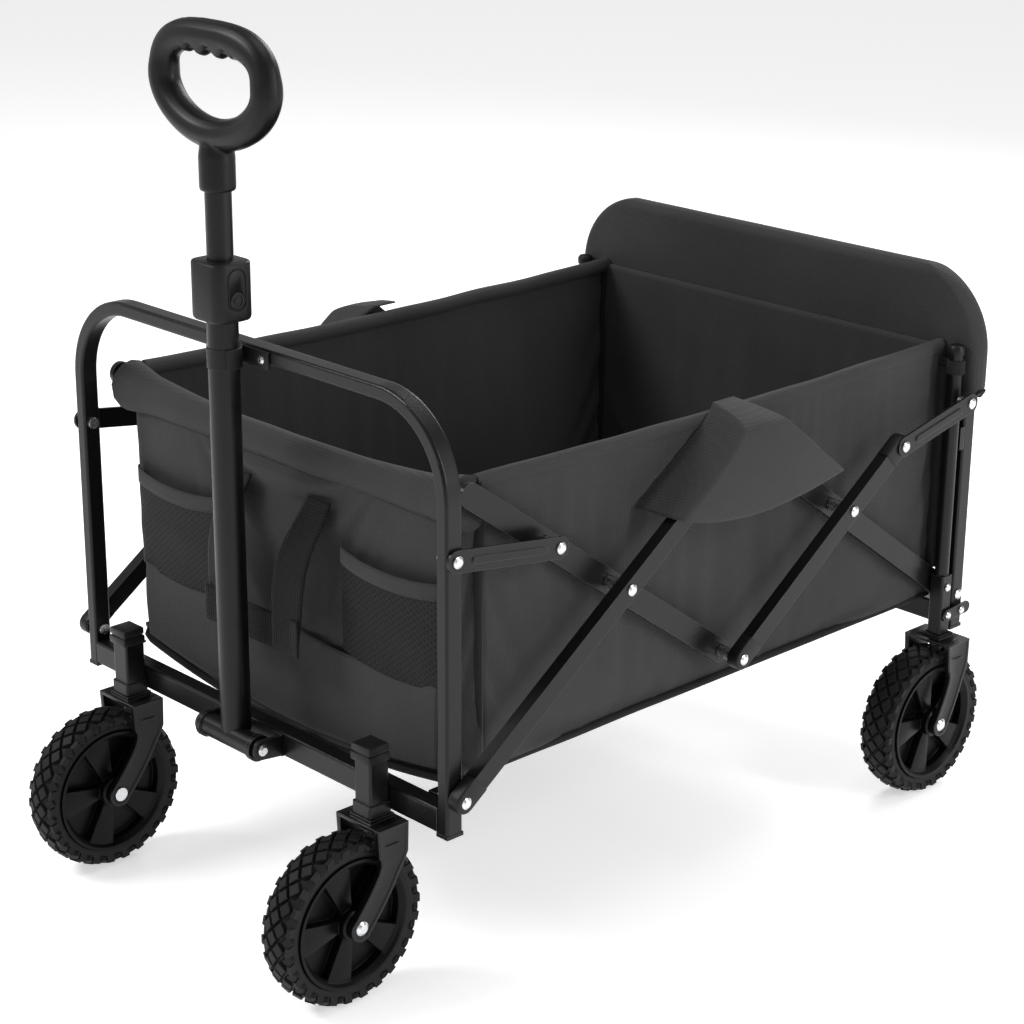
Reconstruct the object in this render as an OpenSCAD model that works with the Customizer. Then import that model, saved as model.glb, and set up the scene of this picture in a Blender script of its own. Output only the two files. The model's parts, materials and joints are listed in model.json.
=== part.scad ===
// Folding camp wagon: two rectangular-tube end frames joined by a scissor linkage on each side,
// a hung fabric basket, four fork-mounted wheels and a telescoping pull handle.
// +X is the width, +Y points from the handle end to the rear, +Z is up. The floor is z = 0.

/* [Frame] */
// Outer width of both end frames
frame_w = 590; // [540:1:720]
// Length from the front frame's front face to the rear frame's back face
frame_l = 800; // [700:1:960]
// Height of the bottom of the frame legs
leg_z = 190; // [185:1:215]
// Height of the top of the front frame
front_top_z = 614; // [580:1:700]
// Height of the top of the rear frame
rear_top_z = 594; // [570:1:690]
// Frame tube width seen from the front
tube_w = 15; // [13:0.5:18]
// Frame tube depth along the wagon
tube_d = 20; // [16:0.5:24]
// Frame tube wall
tube_wall = 1.5; // [1:0.1:2]
// Outer bend radius of the frames' top corners
bend_r = 95; // [60:1:120]
// Height of the crossbars
crossbar_h = 26; // [20:1:30]

/* [Side linkage] */
// Angle of the struts above level when open
strut_angle = 35.5; // [33:0.5:38]
// Height of the strut crossings
cross_z = 385; // [375:1:400]
// Distance from the wagon's middle to each strut crossing
cross_y = 171; // [150:1:180]
// Distance along a front cross strut from its crossing to the brace link pivot
front_brace_arm = 107; // [95:1:120]
// Distance along a rear cross strut from its crossing to the brace link pivot
rear_brace_arm = 96.5; // [85:0.5:110]
// Height of the brace link pivots on the end frames
brace_z = 466; // [455:1:475]
// Face width of the tubular outer struts
outer_face = 20; // [16:0.5:22]
// Thickness of the tubular outer struts
outer_t = 14; // [10:0.5:16]
// Face width of the flat inner struts
inner_face = 25; // [20:0.5:28]
// Thickness of the flat inner struts
inner_t = 6; // [4:0.5:7]
// Width of the flat brace links
brace_w = 22; // [18:0.5:26]
// Thickness of the flat brace links
brace_t = 3; // [2:0.5:4]
// Pivot bolt shank diameter
bolt_d = 8; // [6:0.5:9]
// Pivot bolt head diameter
head_d = 12; // [11:0.5:14]

/* [Wheels] */
// Outer diameter of the tyres
wheel_d = 175; // [150:1:180]
// Width of the tyres
tyre_w = 44; // [36:1:52]
// Depth of the tyre section from tread to rim
tyre_h = 20; // [16:1:24]
// Distance between the front swivel posts
post_span = 400; // [360:1:460]
// Distance the wheel centre trails the post
trail = 40; // [30:1:45]
// Thickness of the fork plate
fork_t = 3; // [2:0.5:4]
// Space between a tyre and its fork
fork_gap = 4; // [3:0.5:6]
// Axle bolt diameter
axle_d = 10; // [8:0.5:12]
// Side of the square front posts
post_w = 24; // [22:0.5:28]

/* [Handle] */
// Outer diameter of the lower handle tube
handle_d = 31; // [28:0.5:34]
// Outer diameter of the telescoping upper tube
inner_tube_d = 26; // [22:0.5:27]
// Height of the handle pivot above the floor
pivot_z = 206; // [200:1:212]
// Height of the top of the lock collar
collar_top_z = 699; // [690:1:730]
// Length of the lock collar
collar_h = 58; // [50:1:66]
// Outer width of the lock collar
collar_w = 50; // [44:1:54]
// Height of the bottom of the grip ring
grip_z = 803; // [790:1:830]
// Outer width of the grip ring
grip_w = 178; // [150:1:190]
// Outer height of the grip ring
grip_h = 122; // [110:1:130]
// Diameter of the grip section
grip_d = 31; // [28:0.5:34]
// Travel of the telescoping tube
telescope = 280; // [200:10:320]

/* [Fabric basket] */
// Half width of the basket outside
basket_x = 266; // [250:1:268]
// Height of the basket rim
rim_z = 526; // [500:1:535]
// Height of the underside of the base mat
mat_z = 226; // [222:1:235]
// Thickness of the base mat
mat_t = 8; // [6:0.5:12]
// Thickness of the wall fabric with its binding
cloth_t = 4; // [3:0.5:6]
// Distance of the front wall behind the front frame
front_wall_gap = 28; // [24:1:40]
// Diameter of the rolled cuff on the front wall
cuff_d = 38; // [30:1:42]
// Diameter of the rolled side hems
hem_d = 12; // [8:0.5:14]
// How far the rear hood overlaps the rear frame all round
hood_over = 14; // [8:1:20]
// Depth of the front mesh pockets
pocket_d = 14; // [10:1:16]
// Width of the pull strap webbing
strap_w = 38; // [30:1:45]

/* [Hidden] */
$fn = 64;

running = 0.1;          // radial clearance of a pin in its bore
screw_d = 5;
screw_head = 9;
bracket_t = 2.5;        // sheet of the small brackets
slip = 0.5;             // gap between faces that slide past each other
wheel_r = wheel_d / 2;

// Levels and planes of the frames, measured from the middle of the frames
front_y = -frame_l / 2;
rear_y = frame_l / 2;
leg_y = front_y + tube_d / 2;
rear_leg_y = -leg_y;
leg_in_x = frame_w / 2 - tube_w;

// Strut planes: flat struts run inside the legs, tubular struts outside them
inner_x1 = leg_in_x - 2;
inner_x0 = inner_x1 - inner_t;
outer_x0 = frame_w / 2 + 1;
outer_x1 = outer_x0 + outer_t;
brace_out_x0 = outer_x1 + slip;
spacer_d = head_d + 2;                  // collars that space the two strut planes
nut_t = 3;

// Pivots of the linkage in the side plane, as [y, z]
rise = tan(strut_angle);
cross_run = -leg_y - cross_y;
foot = [leg_y, cross_z - cross_run * rise];
cross_front = [-cross_y, cross_z];
middle_low = [0, cross_z - cross_y * rise];
middle_top = [0, cross_z + cross_y * rise];
function up_strut(arm) = [-cross_y - arm * cos(strut_angle), cross_z + arm * sin(strut_angle)];
front_brace_foot = up_strut(front_brace_arm);
rear_brace_foot = up_strut(rear_brace_arm);
brace_on_leg = [leg_y, brace_z];
tail_gap = tube_d / 2 + inner_face / 2 + 13.5;   // the flat struts end short of the frame's bend
strut_tail = [leg_y + tail_gap, cross_z + (cross_run - tail_gap) * rise];

// Wheels and forks
crown_z = wheel_d + 5;                  // underside of the fork crown
fork_top_z = crown_z + fork_t;
post_z = fork_top_z + 5;                // bottom of the posts
front_post_y = front_y - post_w / 2;
cap_step = 4;            // how far the caps stand proud of the post, and step in again
front_wheel_y = front_post_y - trail;
rear_post_w = 18;
rear_post_x = leg_in_x + rear_post_w / 2;
rear_wall_y = rear_y - tube_d - cloth_t - 1;
rear_post_y = rear_wall_y - rear_post_w / 2 - 1;
rear_wheel_y = rear_post_y - trail * 0.6;
fork_in_x = tyre_w / 2 + fork_gap;
hub_w = tyre_w + 2;
rim_r = wheel_r - tyre_h;

// Handle
handle_y = front_y - 22;
pivot_y = handle_y - 5;
sleeve_l = 88;
sleeve_d = 24;
clip_z = front_top_z - tube_w / 2 - 3;

// Basket
front_wall_y = front_y + tube_d + front_wall_gap;
side_y0 = front_wall_y + cloth_t;
side_y1 = rear_wall_y - 1;

// The middle of the whole wagon's length, from tyre to tyre, stands at y = 0
shift_y = -(front_wheel_y - wheel_r + max(rear_wheel_y + wheel_r, rear_y)) / 2;

steel = "#1d1d1f";
zinc = "#c9cacc";
moulded = "#222224";
rubber = "#161617";
cloth = "#3f3f41";

// ---------- shapes that repeat ----------

// Rectangle with round corners, centred
module round_rect(w, h, r) {
    square([w - 2 * r, h], center = true);
    square([w, h - 2 * r], center = true);
    for (sx = [-1, 1], sy = [-1, 1])
        translate([sx * (w / 2 - r), sy * (h / 2 - r)]) circle(r);
}

// Upright solid box with round vertical edges, centred in x and y
module post_box(w, d, z0, z1, r = 2) {
    translate([0, 0, z0]) linear_extrude(z1 - z0) round_rect(w, d, r);
}

// Inverted U of round-cornered rectangular section, centred on y = 0
module arch(w, z0, z1, tw, td, r, edge) {
    for (side = [0, 1]) mirror([side, 0, 0]) {
        translate([w / 2 - tw / 2, 0, 0]) post_box(tw, td, z0, z1 - r, edge);
        translate([w / 2 - r, 0, z1 - r]) rotate([90, 0, 0])
            rotate_extrude(angle = 90) translate([r - tw / 2, 0]) round_rect(tw, td, edge);
    }
    translate([-(w / 2 - r), 0, z1 - tw / 2]) rotate([90, 0, 90])
        linear_extrude(w - 2 * r) round_rect(td, tw, edge);
}

// Hollow inverted-U frame
module end_frame(top_z) {
    difference() {
        arch(frame_w, leg_z, top_z, tube_w, tube_d, bend_r, 3);
        arch(frame_w - 2 * tube_wall, leg_z - 1, top_z - tube_wall,
            tube_w - 2 * tube_wall, tube_d - 2 * tube_wall, bend_r - tube_wall, 1.5);
    }
}

// Cylinder along x from x0 to x1 at [y, z]
module x_rod(at, x0, x1, d) {
    translate([x0, at[0], at[1]]) rotate([0, 90, 0]) cylinder(d = d, h = x1 - x0);
}

// Pan-head bolt along x: shank from x0 to x1, its head beyond x1 and its nut beyond x0
module x_bolt(at, x0, x1, shank = bolt_d, head = head_d, head_t = 3, nut = true) {
    x_rod(at, x0, x1, shank);
    translate([x1, at[0], at[1]]) rotate([0, 90, 0]) {
        cylinder(d = head, h = head_t * 0.5);
        translate([0, 0, head_t * 0.5]) cylinder(d1 = head, d2 = head * 0.6, h = head_t * 0.5);
    }
    if (nut) x_rod(at, x0 - nut_t, x0, head);
}

// Flat bar in the side plane from a to b with round ends, between x0 and x1
module bar(a, b, face, x0, x1) {
    span = norm(b - a);
    turn = atan2(b[1] - a[1], b[0] - a[0]);
    translate([x0, a[0], a[1]]) rotate([turn, 0, 0]) rotate([90, 0, 90])
        linear_extrude(x1 - x0) {
            translate([0, -face / 2]) square([span, face]);
            circle(d = face);
            translate([span, 0]) circle(d = face);
        }
}

// Closed tube of flat-sided section with running-fit bores at each listed pivot
module pivoted_bar(a, b, face, x0, x1, bores) {
    wall = tube_wall;
    difference() {
        bar(a, b, face, x0, x1);
        difference() {
            bar(a, b, face - 2 * wall, x0 + wall, x1 - wall);
            for (p = bores) x_rod(p, x0, x1, bolt_d + 4);
        }
        for (p = bores) x_rod(p, x0 - 1, x1 + 1, bolt_d + 2 * running);
    }
}

// The same point on the rear half of the linkage
function mirrored(p) = [-p[0], p[1]];

// Left-hand copy of a right-hand piece
module on(side) {
    if (side > 0) children();
    else mirror([1, 0, 0]) children();
}

module both() {
    on(1) children();
    on(-1) children();
}

// ---------- front frame ----------

module front_frame() {
    color(steel) difference() {
        translate([0, leg_y, 0]) end_frame(front_top_z);
        both() for (p = [foot, brace_on_leg])
            x_rod(p, leg_in_x - 1, frame_w / 2 + 1, bolt_d);
    }
}

// Rectangular crossbar between the legs, welded flush with their front faces
module crossbar(y) {
    translate([-leg_in_x, y, leg_z + crossbar_h / 2]) rotate([90, 0, 90])
        linear_extrude(2 * leg_in_x) difference() {
            round_rect(tube_d, crossbar_h, 3);
            round_rect(tube_d - 2 * tube_wall, crossbar_h - 2 * tube_wall, 1.5);
        }
}

module front_crossbar() {
    color(steel) crossbar(leg_y);
}

front_post_top = leg_z + crossbar_h + 32;
king_d = 14;

// Square swivel posts welded to the front of the crossbar, bored for the kingpins
module front_posts() {
    color(steel) for (side = [-1, 1]) translate([side * post_span / 2, front_post_y, 0])
        difference() {
            union() {
                post_box(post_w, post_w, post_z, front_post_top, 2.5);
                intersection() {
                    post_box(post_w + cap_step, post_w + cap_step, post_z, post_z + 12, 3);
                    translate([-post_w, -post_w - post_w / 2, 0]) cube([2 * post_w, 2 * post_w, 400]);
                }
            }
            translate([0, 0, post_z - 1]) cylinder(d = king_d + 2 * running, h = king_h + 4);
        }
}

// Plastic caps on the posts and plugs in the leg bottoms
module front_end_caps() {
    color(moulded) {
        for (side = [-1, 1]) translate([side * post_span / 2, front_post_y, 0]) {
            translate([0, -2, 0]) post_box(post_w + cap_step, post_w, front_post_top, front_post_top + 8, 3);
            translate([0, -2, 0]) post_box(post_w - cap_step, post_w - cap_step, front_post_top + 8,
                front_post_top + 13, 3);
        }
        leg_plugs(leg_y);
    }
}

module leg_plugs(y) {
    both() translate([frame_w / 2 - tube_w / 2, y, 0]) {
        post_box(tube_w, tube_d, leg_z - 3, leg_z, 3);
        post_box(tube_w - 2 * tube_wall - 0.4, tube_d - 2 * tube_wall - 0.4, leg_z, leg_z + 12, 1.3);
    }
}

corner_l = 34;
corner_d = 22;
bracket_screws = [10, 24];

// Angle brackets that join crossbar and leg on the inside
module corner_bracket() {
    translate([leg_in_x - corner_l, leg_y + tube_d / 2, leg_z + 2]) {
        cube([corner_l, bracket_t, crossbar_h - 4]);
        translate([0, 0, crossbar_h - 4]) cube([corner_l, corner_d, bracket_t]);
    }
}

module corner_brackets() {
    color(steel) difference() {
        both() corner_bracket();
        both() for (dx = bracket_screws) translate([leg_in_x - corner_l + dx, leg_y, leg_z + 12])
            rotate([-90, 0, 0]) cylinder(d = screw_d, h = 2 * tube_d);
    }
}

bracket_w = sleeve_l + 4;      // clear width between the cheeks
pivot_cheek_t = 3;

// Channel on the crossbar that carries the handle pivot between two cheeks
module handle_bracket() {
    half = bracket_w / 2;
    color(steel) {
        translate([-half - pivot_cheek_t, front_y - bracket_t, leg_z + 1])
            cube([bracket_w + 2 * pivot_cheek_t, bracket_t, crossbar_h - 2]);
        both() difference() {
            bar([front_y - bracket_t, leg_z + crossbar_h / 2], [pivot_y, pivot_z], crossbar_h - 4, half,
                half + pivot_cheek_t);
            x_rod([pivot_y, pivot_z], half - 1, half + pivot_cheek_t + 1, bolt_d);
            translate([half - 1, front_y - bracket_t, leg_z - crossbar_h])
                cube([pivot_cheek_t + 2, tube_d, 3 * crossbar_h]);
        }
    }
}

clip_h = 20;
clip_t = 3;
clip_half = 44;
clip_screw_x = 34;

// Spring clip on the top bar: a back plate with ears and two short jaws beside the tube
module handle_clip() {
    jaw_x = handle_d / 2 + 1.2;
    color(moulded) difference() {
        union() {
            translate([-clip_half, front_y - clip_t, clip_z - clip_h / 2])
                cube([2 * clip_half, clip_t, clip_h]);
            both() translate([jaw_x, handle_y, clip_z - clip_h / 2])
                cube([clip_t, front_y - handle_y, clip_h]);
        }
        both() translate([clip_screw_x, front_y - clip_t - 1, clip_z])
            rotate([-90, 0, 0]) cylinder(d = screw_d, h = clip_t + 2);
    }
}

// Screw along +y with its head on the front
module y_screw(x, y, z, l) {
    head_t = 2.4;
    translate([x, y, z]) rotate([-90, 0, 0]) {
        cylinder(d = screw_d, h = l);
        translate([0, 0, -head_t]) cylinder(d1 = screw_head * 0.6, d2 = screw_head, h = head_t);
    }
}

// Bolts and screws fixed to the front frame
module front_fasteners() {
    color(zinc) {
        both() x_bolt(foot, leg_in_x, outer_x1);
        both() x_bolt(brace_on_leg, leg_in_x, outer_x0 + brace_t);
        for (side = [-1, 1]) y_screw(side * clip_screw_x, front_y - clip_t, clip_z, clip_t);
        both() for (dx = bracket_screws) mirror([0, 1, 0])
            y_screw(leg_in_x - corner_l + dx, -leg_y - tube_d / 2 - bracket_t, leg_z + 12, bracket_t);
        x_bolt([pivot_y, pivot_z], -bracket_w / 2 - pivot_cheek_t, bracket_w / 2 + pivot_cheek_t,
            head_t = 4);
    }
}

// ---------- wheels and forks ----------

crown_l = 40;
race_d = 22;
king_h = 38;
stud_d = 10;
stud_h = 20;

// Side outline of one fork cheek: from the crown down a curved arm to the axle boss
module cheek_outline(axle_y) {
    arm_w = 24;
    boss = 26;
    flange_h = 30;
    z_axle = wheel_r;
    steps = 8;
    top = [0, fork_top_z - flange_h + 4];
    low = [axle_y, z_axle];
    bend = [2, z_axle + 48];
    function on_arm(t) = (1 - t) * (1 - t) * top + 2 * t * (1 - t) * bend + t * t * low;
    function across(t) =
        let (d = 2 * (1 - t) * (bend - top) + 2 * t * (low - bend)) [-d[1], d[0]] / norm(d);
    left = [for (i = [0 : steps]) on_arm(i / steps) + across(i / steps) * arm_w / 2];
    right = [for (i = [steps : -1 : 0]) on_arm(i / steps) - across(i / steps) * arm_w / 2];
    polygon(concat(left, right));
    translate(low) circle(d = boss);
    translate([-crown_l / 2, fork_top_z - flange_h]) square([crown_l, flange_h]);
}

// One fork about a post at the origin; the wheel centre lies at y = axle_y
module fork(axle_y, stem_d, stem_h) {
    color(steel) difference() {
        union() {
            for (side = [-1, 1])
                translate([side > 0 ? fork_in_x : -fork_in_x - fork_t, 0, 0])
                    rotate([90, 0, 90]) linear_extrude(fork_t) cheek_outline(axle_y);
            translate([-fork_in_x, -crown_l / 2, crown_z]) cube([2 * fork_in_x, crown_l, fork_t]);
            translate([0, 0, fork_top_z]) cylinder(d = race_d, h = post_z - fork_top_z - slip);
            translate([0, 0, fork_top_z]) cylinder(d = stem_d, h = stem_h);
        }
        x_rod([axle_y, wheel_r], -fork_in_x - fork_t - 1, fork_in_x + fork_t + 1, axle_d);
    }
}

module front_fork(side) {
    translate([side * post_span / 2, front_post_y, 0]) fork(-trail, king_d, king_h);
}

module rear_fork(side) {
    translate([side * rear_post_x, rear_post_y, 0]) fork(rear_wheel_y - rear_post_y, stud_d, stud_h);
}

// Axle bolt through a fork
module axle(side, x, y) {
    color(zinc) on(side) translate([x, 0, 0])
        x_bolt([y, wheel_r], -fork_in_x - fork_t, fork_in_x + fork_t, shank = axle_d,
            head = 15, head_t = 4);
}

module tyre(x, y) {
    edge = 8;
    color(rubber) translate([x, y, wheel_r]) rotate([0, 90, 0]) rotate_extrude($fn = 96)
        difference() {
            translate([wheel_r - tyre_h / 2 - 1, 0]) round_rect(tyre_h + 2, tyre_w, edge);
            translate([rim_r - 10, -tyre_w]) square([10, 2 * tyre_w]);
        }
}

spokes = 5;
hub_boss_d = 34;

// Wheel centre: bored boss, rim ring and a web with five raised wedge spokes
module hub(x, y) {
    ring = 9;
    web = 8;
    color(moulded) translate([x, y, wheel_r]) rotate([0, 90, 0]) difference() {
        union() {
            rotate_extrude($fn = 96) {
                translate([rim_r - ring, -tyre_w / 2 + 2]) square([ring, tyre_w - 4]);
                translate([axle_d / 2 + running, -hub_w / 2]) square([hub_boss_d / 2 - axle_d / 2
                    - running, hub_w]);
                translate([axle_d / 2 + running, -web / 2]) square([rim_r - axle_d / 2 - running
                    - ring / 2, web]);
            }
            for (i = [0 : spokes - 1]) rotate([0, 0, i * 360 / spokes])
                translate([0, 0, -tyre_w / 2 + 5]) linear_extrude(tyre_w - 10) difference() {
                    polygon([[12, -5], [rim_r - ring / 2, -15], [rim_r - ring / 2, 15], [12, 5]]);
                    circle(d = hub_boss_d - 4);
                }
        }
    }
}

// ---------- handle ----------

module handle_tube() {
    color(steel) translate([0, handle_y, 0]) difference() {
        translate([0, 0, pivot_z + 6]) cylinder(d = handle_d, h = collar_top_z - 14 - pivot_z - 6);
        translate([0, 0, pivot_z + 20]) cylinder(d = inner_tube_d + 1, h = 600);
        translate([0, -handle_y, 0])
            x_rod([pivot_y, pivot_z], -handle_d, handle_d, sleeve_d + 0.1);
    }
}

// Cross sleeve at the foot of the handle with a flange at each end
module handle_pivot_sleeve() {
    color(steel) difference() {
        union() {
            x_rod([pivot_y, pivot_z], -sleeve_l / 2, sleeve_l / 2, sleeve_d);
            for (side = [-1, 1])
                x_rod([pivot_y, pivot_z], side * (sleeve_l / 2 - 3) - 3, side * (sleeve_l / 2 - 3) + 3,
                    sleeve_d + 4);
        }
        x_rod([pivot_y, pivot_z], -sleeve_l, sleeve_l, bolt_d + 2 * running);
    }
}

band_t = 1;

// Band round the tube where it rests in the clip
module handle_band() {
    color(moulded) translate([0, handle_y, clip_z - clip_h / 2]) difference() {
        cylinder(d = handle_d + 2 * band_t, h = clip_h);
        translate([0, 0, -1]) cylinder(d = handle_d + 0.1, h = clip_h + 2);
    }
}

button_d = 17;
button_z = collar_top_z - collar_h * 0.62;
button_travel = 3.5;

// Moulded collar that clamps the telescoping tube, with an oval recess on one side
module lock_collar() {
    color(moulded) translate([0, handle_y, 0]) difference() {
        post_box(collar_w, collar_w - 4, collar_top_z - collar_h, collar_top_z, 14);
        translate([0, 0, collar_top_z - collar_h - 1]) cylinder(d = handle_d + 0.2, h = collar_h - 13);
        translate([0, 0, collar_top_z - 20]) cylinder(d = inner_tube_d + 0.6, h = 40);
        translate([collar_w / 2 - 2, 0, button_z]) rotate([90, 0, 90]) linear_extrude(4) {
            circle(d = 22);
            translate([0, 11]) square([22, 22], center = true);
            translate([0, 22]) circle(d = 22);
        }
        translate([handle_d / 2 + 1, 0, button_z]) rotate([0, 90, 0])
            cylinder(d = button_d + 0.6, h = 30);
    }
}

// Sprung push button of the telescope lock
module lock_button() {
    face_x = collar_w / 2 + 1;
    back_x = handle_d / 2 + 1 + button_travel + 0.5;
    color(moulded) translate([0, handle_y, button_z]) rotate([0, 90, 0]) difference() {
        translate([0, 0, back_x]) cylinder(d = button_d, h = face_x - back_x);
        translate([0, 0, face_x - 1]) difference() {
            cylinder(d = button_d - 3, h = 2);
            translate([0, 0, -1]) cylinder(d = button_d - 7, h = 4);
        }
    }
}

module handle_inner_tube() {
    color(steel) translate([0, handle_y, 0]) difference() {
        translate([0, 0, grip_z - 4 - telescope - 160]) cylinder(d = inner_tube_d,
            h = telescope + 160);
        translate([0, 0, grip_z - 4 - telescope - 161]) cylinder(d = inner_tube_d - 3,
            h = telescope + 150);
    }
}

grip_core_r = 34;

// Moulded O-shaped grip on a neck sleeve, with finger scallops under the top bar
module handle_grip() {
    reach_x = grip_w / 2 - grip_d / 2 - grip_core_r;
    reach_z = grip_h / 2 - grip_d / 2 - grip_core_r;
    mid_z = grip_z + grip_h / 2;
    color(moulded) translate([0, handle_y, 0]) {
        difference() {
            union() {
                for (sx = [0, 1], sz = [0, 1]) mirror([sx, 0, 0])
                    translate([reach_x, 0, mid_z + (sz ? reach_z : -reach_z)]) rotate([90, 0, 0])
                        rotate([0, 0, sz ? 0 : -90]) rotate_extrude(angle = 90)
                            translate([grip_core_r, 0]) circle(d = grip_d);
                for (sz = [-1, 1]) x_rod([0, mid_z + sz * (reach_z + grip_core_r)], -reach_x, reach_x,
                    grip_d);
                for (sx = [-1, 1]) translate([sx * (reach_x + grip_core_r), 0, mid_z - reach_z])
                    cylinder(d = grip_d, h = 2 * reach_z);
            }
            for (i = [-1, 0, 1]) translate([i * 24, -30, mid_z + reach_z + grip_core_r - grip_d / 2
                - 4]) rotate([-90, 0, 0]) cylinder(d = 20, h = 60);
        }
        difference() {
            translate([0, 0, grip_z - 38]) cylinder(d1 = inner_tube_d + 8, d2 = inner_tube_d + 10,
                h = 44);
            translate([0, 0, grip_z - 39]) cylinder(d = inner_tube_d + 0.2, h = 35.4);
        }
    }
}

// ---------- side linkage ----------

module front_long_strut(side) {
    color(steel) on(side) pivoted_bar(foot, middle_top, outer_face, outer_x0, outer_x1,
        [foot, cross_front, middle_top]);
}

module front_cross_strut(side) {
    color(steel) on(side) pivoted_bar(middle_low, strut_tail, inner_face, inner_x0, inner_x1,
        [middle_low, cross_front]);
}

module rear_long_strut(side) {
    color(steel) on(side) pivoted_bar(middle_top, mirrored(foot), inner_face, inner_x0, inner_x1,
        [mirrored(foot), mirrored(cross_front), middle_top]);
}

module rear_cross_strut(side) {
    color(steel) on(side) pivoted_bar(middle_low, mirrored(rear_brace_foot), outer_face, outer_x0,
        outer_x1, [middle_low, mirrored(cross_front)]);
}

rib_w = 7;

// Flat link with a long pressed rib
module brace(a, b, x0) {
    inset = 22;
    dir = (b - a) / norm(b - a);
    difference() {
        bar(a, b, brace_w, x0, x0 + brace_t);
        for (p = [a, b]) x_rod(p, x0 - 1, x0 + brace_t + 1, bolt_d + 2 * running);
    }
    bar(a + dir * inset, b - dir * inset, rib_w, x0 + brace_t / 2, x0 + brace_t + 1.5);
}

module front_brace(side) {
    color(steel) on(side) brace(brace_on_leg, front_brace_foot, outer_x0);
}

rear_brace_top = [rear_post_y, brace_z];

module rear_brace(side) {
    color(steel) on(side) brace(mirrored(rear_brace_foot), rear_brace_top, brace_out_x0);
}

// Shouldered bolt that spaces the tubular strut off the flat one
module strut_bolt(at) {
    x_bolt(at, inner_x0, outer_x1);
    x_rod(at, inner_x1 + slip, outer_x0 - slip, spacer_d);
}

module front_strut_bolts() {
    color(zinc) both() for (p = [cross_front, middle_top]) strut_bolt(p);
}

module rear_strut_bolts() {
    color(zinc) both() for (p = [mirrored(cross_front), middle_low]) strut_bolt(p);
}

module front_brace_bolts() {
    color(zinc) both() {
        x_bolt(front_brace_foot, inner_x1 + slip, outer_x0 + brace_t, nut = false);
        x_rod(front_brace_foot, inner_x1 + slip, outer_x0 - slip, spacer_d);
    }
}

module rear_brace_bolts() {
    color(zinc) both()
        x_bolt(mirrored(rear_brace_foot), brace_out_x0, brace_out_x0 + brace_t, nut = false);
}

// ---------- rear frame ----------

module rear_frame() {
    color(steel) difference() {
        translate([0, rear_leg_y, 0]) end_frame(rear_top_z);
        both() x_rod(mirrored(foot), leg_in_x - 1, frame_w / 2 + 1, bolt_d);
    }
}

module rear_crossbar() {
    color(steel) crossbar(rear_leg_y);
}

pole_d = 16;
spigot_d = pole_d - 3;   // turned-down end that stands in the sleeve
spigot_l = 18;
post_top_z = leg_z + 68;

// Square sleeves that stand on the rear forks and hold the poles
module rear_posts() {
    color(steel) both() translate([rear_post_x, rear_post_y, 0]) difference() {
        post_box(rear_post_w, rear_post_w, post_z, post_top_z, 2.5);
        translate([0, 0, post_z - 1]) cylinder(d = stud_d, h = stud_h + 2);
        translate([0, 0, post_top_z - spigot_l - 2]) cylinder(d = spigot_d, h = spigot_l + 12);
        translate([0, -rear_post_y, 0]) {
            x_rod([rear_post_y, tie_z + 1], frame_w / 2 - rear_post_x, rear_post_w, screw_d);
            x_rod([rear_post_y, clamp_z], spigot_d / 2 - 1, rear_post_w, screw_d);
        }
    }
}

// Round poles that hold the basket's rear corners
module rear_poles() {
    color(steel) both() translate([rear_post_x, rear_post_y, 0]) difference() {
        union() {
            translate([0, 0, post_top_z]) cylinder(d = pole_d, h = rim_z - 4 - post_top_z);
            translate([0, 0, post_top_z - spigot_l]) cylinder(d = spigot_d, h = spigot_l + 2);
        }
        translate([0, -rear_post_y, 0])
            x_rod([rear_post_y, brace_z], -pole_d, pole_d, bolt_d + 2 * running);
    }
}

tie_w = 14;
tie_z = leg_z + 20;
tie_x = rear_post_x + rear_post_w / 2 + 0.5;
clamp_z = post_top_z - 14;
box_drop = 60;           // from the brace bolt down to the box bracket
box_h = 26;

// Flat bars that tie the sleeve to the rear frame, and a small box bracket above
module rear_brackets() {
    color(steel) both() {
        difference() {
            bar([rear_post_y, tie_z], [rear_y, tie_z + 2], tie_w, tie_x, tie_x + bracket_t);
            for (y = [rear_post_y, rear_leg_y]) x_rod([y, tie_z + 1], frame_w / 2, frame_w, screw_d);
        }
        translate([rear_post_x - tie_w / 2, rear_post_y + pole_d / 2, brace_z - box_drop])
            cube([tie_w, rear_y - tube_d - rear_post_y - pole_d / 2, box_h]);
    }
}

module rear_end_caps() {
    color(moulded) {
        leg_plugs(rear_leg_y);
        both() translate([rear_post_x, rear_post_y, rim_z - 4]) {
            cylinder(d = pole_d + 2, h = 4);
            translate([0, 0, 4]) cylinder(d1 = pole_d + 2, d2 = pole_d - 4, h = 3);
        }
    }
}

// Bolts and screws fixed to the rear frame
module rear_fasteners() {
    color(zinc) both() {
        x_bolt(mirrored(foot), inner_x0, frame_w / 2);
        x_bolt(rear_brace_top, rear_post_x + pole_d / 4, brace_out_x0 + brace_t, nut = false);
        for (y = [rear_post_y, rear_leg_y])
            x_bolt([y, tie_z + 1], frame_w / 2, tie_x + bracket_t, shank = screw_d, head = screw_head,
                nut = false);
        x_bolt([rear_post_y, clamp_z], rear_post_x + spigot_d / 2 + running,
            rear_post_x + rear_post_w / 2, shank = screw_d, head = screw_head, nut = false);
        x_rod(rear_brace_top, rear_post_x + pole_d / 2 + slip, brace_out_x0 - slip, head_d);
    }
}

// ---------- fabric basket ----------

// Front wall with its rolled cuff along the top
module front_wall() {
    half = basket_x - 4;
    cuff_z = rim_z - cuff_d / 2;
    color(cloth) {
        translate([-half, front_wall_y, mat_z - 2])
            cube([2 * half, cloth_t, cuff_z - mat_z + 2]);
        x_rod([front_wall_y + cloth_t / 2, cuff_z], -(half - hem_d), half - hem_d, cuff_d);
    }
}

pocket_w = 150;
pocket_z0 = mat_z + 84;
pocket_z1 = 420;

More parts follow.
